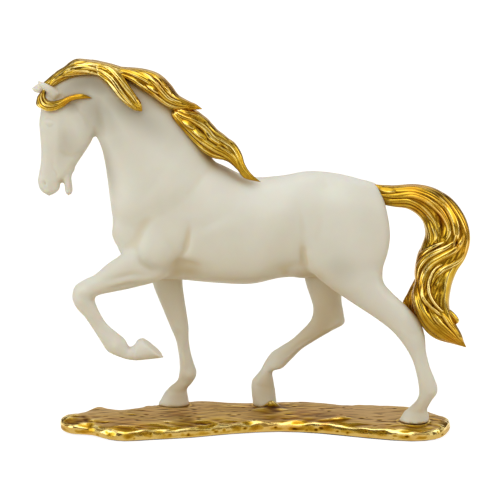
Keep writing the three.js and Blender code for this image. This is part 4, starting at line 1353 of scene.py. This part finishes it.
# %% Mane
LOCKS["crest"]["bands"] = [
    ([(-153.5, 262), (-148.5, 266.5), (-142, 270), (-133, 271), (-124, 271), (-114, 269.5)],
     2.6, 0.8, 3),
    ([(-153.5, 265.5), (-148, 271.5), (-140.5, 277), (-133, 280.5), (-123.5, 280.5),
      (-112.5, 278.5)], 3.2, 0.7, 3),
    ([(-153, 264), (-145.5, 269.5), (-139, 273.5), (-132, 275.5), (-125, 275.8), (-117.5, 274.5),
      (-110.5, 271)], 2.4, 1.15, 2),
    ([(-144, 268), (-136, 272.5), (-128, 273.2), (-120, 271.5), (-112, 268)], 1.7, 1.3, 1),
    ([(-137, 278), (-129, 277.6), (-122, 278.6), (-114, 277.5), (-106.5, 274)], 1.9, 1.3, 1),
    ([(-126.5, 280), (-117.5, 278.6), (-108.5, 277), (-97, 274)], 2.6, 0.8, 2),
    ([(-120, 275), (-113, 273.5), (-106, 271.5), (-99, 270.5)], 2.0, 0.9, 2),
]
LOCKS["hanging"]["bands"] = [
    ([(-122, 272), (-115, 269), (-108.5, 263), (-103, 256), (-96, 249), (-90, 243.5)],
     2.2, 0.8, 2),
    ([(-120, 276), (-112, 272.5), (-105, 267), (-99.5, 259.5), (-92.5, 251), (-85.5, 243.5)],
     2.0, 1.15, 2),
    ([(-115.5, 278), (-108, 276), (-101.5, 270.5), (-95.5, 262.5), (-89, 254.5), (-83, 245.5)],
     2.2, 0.75, 2),
    ([(-111, 268), (-105, 261.5), (-98.5, 254), (-92, 248)], 1.3, 1.5, 1),
]
LOCKS["middle"]["bands"] = [
    ([(-110, 279), (-94.5, 276.5), (-82.5, 274), (-72.5, 271), (-65.5, 266), (-60.5, 260),
      (-55.5, 254.5), (-48, 250.5), (-38, 245)], 3.2, 0.9, 3),
    ([(-108, 275.5), (-93, 273), (-83.5, 269.5), (-76, 265), (-70, 259), (-64.5, 253),
      (-57, 249), (-47, 246)], 3.0, 1.1, 2),
    ([(-104.5, 272), (-97.5, 269.5), (-90, 266), (-82.5, 261.5), (-76, 256.5), (-70, 251.5),
      (-63, 247), (-54, 245)], 3.0, 0.8, 3),
    ([(-89, 274.5), (-80, 270.5), (-73, 265), (-67.5, 258.5), (-61.5, 252.5), (-52, 249.5)],
     2.1, 1.75, 1),
    ([(-84, 262.5), (-76.5, 258), (-69, 251.5), (-60, 246.5), (-48, 245)], 1.8, 1.3, 1),
    ([(-80, 263.5), (-74, 260.5), (-68.5, 256)], 3.1, 1.8, 0),
    ([(-67, 264.5), (-62.8, 260), (-59, 254)], 3.0, 1.8, 0),
    ([(-78, 272.5), (-70.5, 268), (-65, 261.5), (-60.5, 256), (-53, 251.5)], 1.8, 1.5, 1),
]
LOCKS["middle"]["hollows"] = [([(-86, 266), (-79, 261.5)], 1.1, 0.9)]
LOCKS["rear"]["bands"] = [
    ([(-62, 248), (-52, 243), (-41, 241), (-31.5, 235), (-25.5, 228), (-15.5, 221), (-9.5, 214),
      (-5.5, 207), (-2, 198.5), (7.5, 188.5)], 3.4, 0.75, 3),
    ([(-62, 245), (-53, 239.5), (-43, 235.5), (-34, 229), (-28.5, 222.5), (-21, 218.5),
      (-14.5, 213.5), (-10.5, 206.5), (-6, 198), (2, 190)], 3.2, 1.1, 3),
    ([(-61, 242), (-54, 236), (-48, 230), (-41.5, 224), (-34, 218.5), (-27, 214), (-19.5, 210),
      (-13.5, 204.5), (-7.5, 196.5), (0.5, 189.5)], 3.3, 1.15, 2),
    ([(-61, 239), (-55, 230.5), (-48, 222.5), (-39.5, 214.5), (-30, 208.5), (-21, 206),
      (-14.5, 202), (-8.5, 194.5), (0.5, 188.5)], 2.6, 0.75, 3),
    ([(-53, 236.5), (-47.5, 233), (-42, 229)], 2.9, 1.8, 0),
    ([(-46.5, 230.5), (-40, 226), (-33.5, 221)], 3.1, 1.8, 0),
    ([(-36, 236), (-29, 229.5), (-21.5, 224), (-14, 219)], 1.9, 1.35, 1),
    ([(-27, 217.5), (-18, 212.5), (-12, 206), (-8, 197)], 1.5, 1.45, 1),
]
LOCKS["rear"]["hollows"] = [
    ([(-41, 231), (-35, 225.5)], 1.2, 1.0), ([(-24, 219), (-19, 215)], 1.1, 0.9),
]
LOCKS["fore"]["bands"] = [
    ([(-160, 259), (-163, 252), (-160.5, 246.5), (-155.5, 244), (-149.5, 244.8), (-143.5, 247.8),
      (-138, 251.5), (-131, 253.2), (-122, 252.6)], 2.4, 0.8, 2),
    ([(-157, 259.5), (-157.5, 253.5), (-154.5, 249.8), (-149.5, 249.5), (-144, 251),
      (-137.5, 253.8), (-130, 255)], 1.8, 1.0, 2),
    ([(-159, 259), (-160.2, 252), (-157.5, 248), (-152.5, 247.3), (-146.5, 248.6),
      (-140, 252), (-132, 254)], 1.3, 1.4, 1),
]
crest_hair = hair_piece("crest_hair", ["crest", "hanging"], 21, "crest_lock")
middle_hair = hair_piece("middle_hair", ["middle"], 31, "middle_lock")
rear_hair = hair_piece("rear_hair", ["rear"], 41, "rear_lock")
fore_hair = hair_piece("fore_hair", ["fore"], 51, "forelock")

# %% [markdown]
# Antique gold is bright where fingers and cloths rub it and brown to black in the grooves, where
# the wash of dark lacquer stays. One node group turns a relief value into colour and roughness
# and breaks both up with noise, and a soft noise warms some patches and cools others, as real
# leaf does. The same value also paints shade into the narrow grooves and the broad hollows of
# each lock, and a pale painted highlight onto the crests. On the hair a second noise, stretched
# along the flow of each band, scratches in the fine strands that the grid is too coarse to carry.

# %% A ramp of tones
def colour_ramp(tree, value, stops):
    """The colour of a ramp of (position, colour) stops at a value."""
    made = node(tree, "ValToRGB", {"Fac": value})
    elements = made.color_ramp.elements
    while len(elements) < len(stops):
        elements.new(0.5)
    for element, (position, colour) in zip(elements, stops):
        element.position = position
        element.color = colour
    return made.outputs["Color"]


print("ramps ready")

# %% Antique gold
# From grooves to crests: the dark stops are lacquer and painted shade, the palest is rubbed wear and
# a painted highlight.
GOLD_STOPS = [
    (0.00, (0.045, 0.013, 0.000, 1.0)),
    (0.25, (0.150, 0.058, 0.001, 1.0)),
    (0.50, (0.300, 0.152, 0.006, 1.0)),
    (0.72, (0.500, 0.300, 0.018, 1.0)),
    (0.88, (0.660, 0.450, 0.060, 1.0)),
    (1.00, (0.860, 0.680, 0.260, 1.0)),
]
GOLD_WARM = (1.0, 0.80, 0.52, 1.0)
GILDING_SOCKETS = [
    ("INPUT", "Lacquer And Painted Light", "Float"), ("INPUT", "Wear", "Float"), ("INPUT", "Patch Scale", "Float"),
    ("INPUT", "Gloss", "Float"), ("INPUT", "Vector", "Vector"),
    ("OUTPUT", "Color", "Color"), ("OUTPUT", "Roughness", "Float"),
]

gilding = bpy.data.node_groups.new("antique_gold", "ShaderNodeTree")
for way, name, kind in GILDING_SOCKETS:
    gilding.interface.new_socket(name, in_out=way, socket_type="NodeSocket" + kind)
given = gilding.nodes.new("NodeGroupInput").outputs
patches = noise(gilding, given["Vector"], given["Patch Scale"], 5.0)
# Wear and relief together: lacquer and painted shade low down, rubbed wear and a painted highlight
# high up.
worn_and_painted_light = maths(gilding, "MULTIPLY", maths(gilding, "SUBTRACT", patches, 0.5), given["Wear"])
worn_and_painted_light = maths(gilding, "ADD", worn_and_painted_light, given["Lacquer And Painted Light"], clamp=True)
warm = ranged(gilding, noise(gilding, given["Vector"], 45.0, 3.0), (0.50, 0.72))
tone = mixed(gilding, warm, colour_ramp(gilding, worn_and_painted_light, GOLD_STOPS), GOLD_WARM, "MULTIPLY")
polish = maths(gilding, "ADD", ranged(gilding, worn_and_painted_light, to=(0.36, 0.0)), given["Gloss"])
feed(gilding.nodes.new("NodeGroupOutput"), {"Color": tone, "Roughness": polish})
lay_out(gilding)
print("antique gold has", len(GILDING_SOCKETS), "sockets")

# %% Gold on the hair
HAIR_STRETCH = (1.25, 0.06, 1.0)


def gold_material(name, wear, patch_scale, gloss):
    """A gold that reads the piece's relief and Object coordinates; the relief paints dark lacquer
    and shade into the grooves and a pale highlight onto the crests. It returns the material, its
    shader, and the gilding's outputs, for what each piece adds."""
    made, shader = new_material(name)
    gold_tree = made.node_tree
    values = {"Lacquer And Painted Light": attribute(gold_tree, "lacquer_and_painted_light"), "Vector": object_place(gold_tree)}
    values.update({"Wear": wear, "Patch Scale": patch_scale, "Gloss": gloss})
    leaf = node(gold_tree, "Group", values, node_tree=gilding).outputs
    feed(shader, {"Base Color": leaf["Color"], "Roughness": leaf["Roughness"], "Metallic": 1.0})
    feed(shader, {"Coat Weight": 0.05, "Coat Roughness": 0.12})
    return made, shader, leaf


hair_gold, hair_shader, _ = gold_material("hair_gold", 0.35, 110.0, 0.12)
tree = hair_gold.node_tree
values = {0: attribute(tree, "flow", "Vector"), 1: HAIR_STRETCH}
flow = node(tree, "VectorMath", values, operation="MULTIPLY").outputs["Vector"]
feed(hair_shader, {"Normal": bumped(tree, noise(tree, flow, 1.0, 2.0), 0.15, 0.00035)})
lay_out(tree)
for piece in (tail_hair, crest_hair, middle_hair, rear_hair, fore_hair):
    piece.data.materials.append(hair_gold)
print("antique gold on the hair")

# %% [markdown]
# ## The base
# The base is a thin free-form slab that was cast like poured metal: a rounded lip that rises and
# falls, streaks along the top, and pits where bubbles broke. Its outline is a closed curve, the
# slab is melted to an even grid like the horse, and waves, pits and hoof seats then move that
# grid, so the metal stays one closed skin.

# %% Outline of the base
BASE_OUTLINE = [
    (-151, -3), (-149, -14), (-142, -22), (-126, -26), (-113, -36), (-100, -40.5), (-78, -37),
    (-47, -31.5), (-16, -22.5), (23, -16.5), (55, -20.5), (93, -33), (127, -40.5), (146, -35),
    (155, -19), (157, -5), (149, 7), (125, 27), (100, 33), (76, 34), (56, 40), (20, 40.5),
    (-20, 38.5), (-49, 40.5), (-76, 35), (-96, 24), (-111, 19), (-123, 21.5), (-133, 16), (-143, 5),
]
BASE_HEIGHT = 10.6
BASE_REACH = 157.0
BASE_SPINE = 122.0
BASE_VOXEL = 0.00084
TO_THE_SPINE = 1000.0

outline_knots = np.array(BASE_OUTLINE, dtype=float)
closed_knots = np.vstack([outline_knots[-2:], outline_knots, outline_knots[:2]])
outline = smooth(closed_knots, np.linspace(2, len(outline_knots) + 2, 361)[:-1])
spine = np.stack([outline[:, 0] * BASE_SPINE / BASE_REACH, np.zeros(len(outline))], axis=1)
inward = spine - outline
inward_length = np.linalg.norm(inward, axis=1, keepdims=True)


def base_ring(inset, height):
    """The outline drawn in by an inset towards the spine of the slab, at a height."""
    flat = outline + inward * np.minimum(inset / inward_length, 1.0)
    return np.column_stack([flat, np.full(len(flat), height)])


BASE_PROFILE = [
    # inset, height under the hoof soles
    (1.3, -10.6), (0.45, -9.6), (0.15, -8.0), (0.1, -6.2), (0.35, -4.9), (0.9, -3.9), (1.9, -3.1),
    (3.6, -2.4), (7.0, -1.5), (12.0, -0.5), (16.0, -0.1),
]
slab_rings = [base_ring(TO_THE_SPINE, -BASE_HEIGHT)]
slab_rings += [base_ring(inset, height) for inset, height in BASE_PROFILE]
slab_rings += [base_ring(TO_THE_SPINE, 0.0)]
base_metal = new_piece("base_metal", *merged([capped(np.array(slab_rings))]))
melt(base_metal, BASE_VOXEL)


# %% Waves, pits and seats
def waves(x, y, random, count, long, short, turn=0.25):
    """A sum of sine waves whose crests run mostly along x: each has its own length, slant and
    phase, and the sum is divided by the root of their number."""
    total = np.zeros(len(x))
    for _ in range(count):
        slant = random.normal(0, turn)
        across = 2 * np.pi / random.uniform(*short)
        along = 2 * np.pi / random.uniform(*long) * random.choice((-1, 1))
        total += np.sin(along * x + across * (y + slant * x) + random.uniform(0, 2 * np.pi))
    return total / np.sqrt(count)


def pits(x, y, random, count, box, radius, stretch):
    """A field of small hollows, each exp(-d^2) of a distance that is shorter along x."""
    total = np.zeros(len(x))
    for _ in range(count):
        px, py = random.uniform(box[0], box[1]), random.uniform(box[2], box[3])
        size = random.uniform(*radius)
        long_size = size * random.uniform(*stretch)
        near = np.flatnonzero((np.abs(x - px) < 3 * long_size) & (np.abs(y - py) < 3 * size))
        gap = ((x[near] - px) / long_size) ** 2 + ((y[near] - py) / size) ** 2
        total[near] = np.maximum(total[near], np.exp(-gap) * random.uniform(0.5, 1.0))
    return total


def dome(x, y, place, radius, height):
    """A round-topped bump: height times exp(-d^2), with its own radius each way."""
    gap = ((x - place[0]) / radius[0]) ** 2 + ((y - place[1]) / radius[1]) ** 2
    return height * np.exp(-gap)


SOLES = {
    # middle x, y and half length, half width of each standing sole
    "far_fore": (-62.3, 22, 12.8, 9), "far_hind": (11, 22, 9.5, 8.6), "near_hind": (127, -22, 12, 9),
}
BASE_DOMES = [
    # middle, radii and height
    ((-123, 20), (9, 5), 1.9), ((-144, -7), (8, 8), 2.6), ((-131, -21), (7, 3.5), 1.2),
    ((16.5, 13.5), (6.5, 5), 5.8), ((8, 6), (8, 5), 2.0), ((25, 6), (6, 4), 1.2),
    ((6, -15), (7, 2.2), 1.7), ((33, -14), (8, 2.4), 1.4), ((70, -14.5), (9, 1.7), 1.9),
    ((40, 36), (20, 5), 0.6), ((-30, 34), (22, 5), 0.8), ((-106, -33), (9, 4), 1.3),
    ((148, -16), (6, 9), 0.8), ((-18, 2), (24, 6), 0.6),
]
print("bumps on the top", len(BASE_DOMES))

# %% Seats and collars of the hooves
METAL_ROUNDS = 12
SEAT_RING = (0.84, 1.0)
COLLAR_PLACE = 1.07
COLLAR_WIDTH = 0.07

metal_edges = read_edges(base_metal.data)
metal = relaxed(read_points(base_metal.data), metal_edges, METAL_ROUNDS)
write_points(base_metal.data, metal)
facing = read_normals(base_metal.data)
x, y, z = metal.T
up = facing[:, 2]
upward = step_between(0.25, 0.8, up)
sideways = step_between(-0.6, -0.1, up) * (1 - upward)

seat = np.ones(len(metal))
collar = np.zeros(len(metal))
for sx, sy, half_x, half_y in SOLES.values():
    gap = np.hypot((x - sx) / half_x, (y - sy) / half_y)
    seat = np.minimum(seat, step_between(*SEAT_RING, gap))
    collar += np.exp(-(((gap - COLLAR_PLACE) / COLLAR_WIDTH) ** 2))
print("hooves seated", len(SOLES))

# %% Lift of the top
COLLAR_HEIGHT = 0.5
STREAK_HEIGHT = 0.13
FINE_STREAK_HEIGHT = 0.05
SWELL_HEIGHT = 0.42
PIT_COUNT = 170
PIT_DEPTH = 0.75
LEFT_DROP = 1.2

random = np.random.default_rng(41)
level = step_between(0.90, 0.985, up)
streaks = STREAK_HEIGHT * waves(x, y, random, 9, (30, 110), (4.0, 11.0))
streaks += FINE_STREAK_HEIGHT * waves(x, y, random, 10, (10, 34), (2.0, 4.2)) * level
broad = SWELL_HEIGHT * waves(x, y, random, 6, (60, 140), (22, 50), 0.1)
holes = pits(x, y, random, PIT_COUNT, (-150, 155, -40, 40), (0.5, 1.1), (1.3, 4.0))
lift = streaks + broad - PIT_DEPTH * holes * level + COLLAR_HEIGHT * collar
for place, radius, height in BASE_DOMES:
    lift += dome(x, y, place, radius, height)
left_step = 1 - step_between(-137, -131, x + 0.4 * y)
lift -= LEFT_DROP * left_step * (1 - step_between(-16, 4, y))
print("the top moves by", lift.min().round(2), "to", lift.max().round(2), "mm")

# %% Lip and sides
SIDE_DENT = 0.22
SIDE_PIT_COUNT = 40
SIDE_PIT_DEPTH = 0.7
LIP_WAVE = 0.50
LIP_DENT = 0.14
BASE_DRAW_IN = 0.9965

lip_waves = waves(x, 0 * y, random, 6, (18, 60), (1e6, 2e6))
lip_dents = waves(x, z, random, 7, (12, 40), (8.0, 16.0), 0.6)
side_dents = SIDE_DENT * waves(x, z, random, 7, (16, 50), (8.0, 20.0)) - 0.15
side_holes = pits(x, z, random, SIDE_PIT_COUNT, (-150, 155, -10, -3), (0.4, 0.7), (1.0, 2.6))
rim = np.exp(-(((z + 3.4) / 1.6) ** 2)) * (1 - step_between(0.86, 0.97, up))
near_lip = np.exp(-(((z + 3.0) / 2.4) ** 2)) * (1 - step_between(0.9, 0.98, up))
push_out = sideways * (side_dents - SIDE_PIT_DEPTH * side_holes)
push_out += near_lip * (LIP_DENT * lip_dents - 0.2)

metal = metal + facing * push_out[:, None]
metal[:, 2] += upward * seat * lift + rim * (LIP_WAVE * lip_waves + 0.25)
metal[:, :2] *= BASE_DRAW_IN
metal[:, 2] = np.maximum(metal[:, 2], -BASE_HEIGHT)
metal = relaxed(metal, metal_edges, 2)
write_points(base_metal.data, metal)
print("base from", metal.min(0).round(2), "to", metal.max(0).round(2))

# %% Where the base is hollow and where it keeps no painted sheen
METAL_MELT = (14, 0.30)
# Places kept free of the top's painted sheen.
SHEEN_FREE_STROKES = [
    # line in the top view, radius
    ([(2, 6), (14, 12), (30, 4)], 9), ([(-58, -22), (-44, -20)], 6), ([(24, -12), (60, -14)], 6),
    ([(20, 2), (48, -4), (78, -10)], 8), ([(136, -16), (150, -8)], 9),
    ([(-148, -14), (-131, -19)], 8), ([(-148, -4), (-142, 2)], 6), ([(-110, -32), (-98, -34)], 5),
]

sheen_free = np.max([bell(x, y, line, radius) for line, radius in SHEEN_FREE_STROKES], axis=0)
sheen_free = np.maximum(sheen_free, 0.9 * np.clip(collar, 0, 1))
write_values(base_metal.data, "sheen_free", sheen_free)
base_hollow = hollow_of(base_metal.data, metal, metal_edges, *METAL_MELT)
# Dark lacquer and painted shade in the hollows of the base; the rings round the hooves and the
# places kept free of the top's painted sheen are a little darker.
base_lacquer_and_painted_light = 0.60 - 0.75 * base_hollow - 0.20 * collar - 0.15 * sheen_free
write_values(base_metal.data, "lacquer_and_painted_light", np.clip(base_lacquer_and_painted_light, 0, 1))
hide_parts("base")
print("bare spots", len(SHEEN_FREE_STROKES), "and", len(SOLES), "collars")

# %% [markdown]
# The upward-facing top of the base is painted a pale tan that is rougher and less metallic: a
# painted reflection of the sheen that the top shows at a grazing view, while the lip and the sides
# stay polished gold. It follows how far the surface faces up, broken by noise, and it is kept off
# the left end, the mound, the near edge and the rings round the hooves.

# %% Gold of the base
# Painted reflection: a pale tan, rough, less metallic tone on the upward-facing top, for the sheen
# of its grazing reflection.
PAINTED_TOP_SHEEN_TONE = (0.68, 0.455, 0.215, 1.0)

base_gold, base_shader, leaf = gold_material("base_gold", 0.5, 70.0, 0.17)
tree = base_gold.node_tree
where = object_place(tree)
normal = node(tree, "NewGeometry", {}).outputs["Normal"]
facing_up = ranged(tree, node(tree, "SeparateXYZ", {0: normal}).outputs["Z"], (0.93, 1.0))
patchy = ranged(tree, noise(tree, where, 17.0, 5.0), (0.42, 0.58), (0.28, 0.85))
painted_top_sheen = maths(tree, "MULTIPLY", patchy, ranged(tree, attribute(tree, "lacquer_and_painted_light"), (0.36, 0.56)))
sheen_kept = maths(tree, "SUBTRACT", 1.0, attribute(tree, "sheen_free"))
painted_top_sheen = maths(tree, "MULTIPLY", painted_top_sheen, sheen_kept, clamp=True)
painted_top_sheen = maths(tree, "MULTIPLY", facing_up, painted_top_sheen)
rough = maths(tree, "ADD", ranged(tree, painted_top_sheen, to=(0.0, 0.55)), leaf["Roughness"], clamp=True)
sand = bumped(tree, noise(tree, where, 520.0, 3.0), 0.12, 0.0004)
feed(base_shader, {"Base Color": mixed(tree, painted_top_sheen, leaf["Color"], PAINTED_TOP_SHEEN_TONE), "Roughness": rough})
feed(base_shader, {"Metallic": ranged(tree, painted_top_sheen, to=(1.0, 0.1)), "Normal": sand})
lay_out(tree)
base_metal.data.materials.append(base_gold)
print("gold on the base")

# %% [markdown]
# ## The hidden hardware and the pad
# Steel studs with washers and nuts hold the hooves to the base, steel pins hold the hair, and a
# thin rubber pad keeps the base from scratching a shelf. They keep the shapes of the packed
# model, so they only need materials: rolled steel with fine turning lines, and matt foam rubber.

# %% Steel and rubber
STEEL_STOPS = [(0.3, (0.42, 0.43, 0.44, 1.0)), (0.7, (0.66, 0.67, 0.69, 1.0))]
RUBBER_STOPS = [(0.35, (0.022, 0.022, 0.023, 1.0)), (0.75, (0.055, 0.052, 0.048, 1.0))]
TURNING_LINES = (60.0, 60.0, 2200.0)
REPLACED = {"horse_body", "tail", "crest_lock", "middle_lock", "rear_lock", "forelock", "base"}

steel, steel_shader = new_material("zinc_steel")
tree = steel.node_tree
where = object_place(tree)
stain = noise(tree, where, 300.0, 4.0)
turned = node(tree, "Mapping", {"Vector": where, "Scale": TURNING_LINES}).outputs["Vector"]
lines = bumped(tree, noise(tree, turned, 1.0, 2.0), 0.3, 0.0002)
dull = ranged(tree, stain, to=(0.26, 0.44))
feed(steel_shader, {"Base Color": colour_ramp(tree, stain, STEEL_STOPS), "Roughness": dull})
feed(steel_shader, {"Normal": lines, "Metallic": 1.0})
lay_out(tree)

rubber, rubber_shader = new_material("pad_rubber")
tree = rubber.node_tree
where = object_place(tree)
dust = noise(tree, where, 40.0, 5.0)
cells = node(tree, "TexVoronoi", {"Vector": where, "Scale": 1400.0}).outputs["Distance"]
dull = ranged(tree, dust, to=(0.78, 0.94))
feed(rubber_shader, {"Base Color": colour_ramp(tree, dust, RUBBER_STOPS), "Roughness": dull})
feed(rubber_shader, {"Normal": bumped(tree, cells, 0.4, 0.0003)})
lay_out(tree)

for name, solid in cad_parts.items():
    if name in REPLACED:
        continue
    finish = rubber if name == "base_pad" else steel
    for slot in solid.material_slots:
        slot.material = finish
    print(name, "is", finish.name)
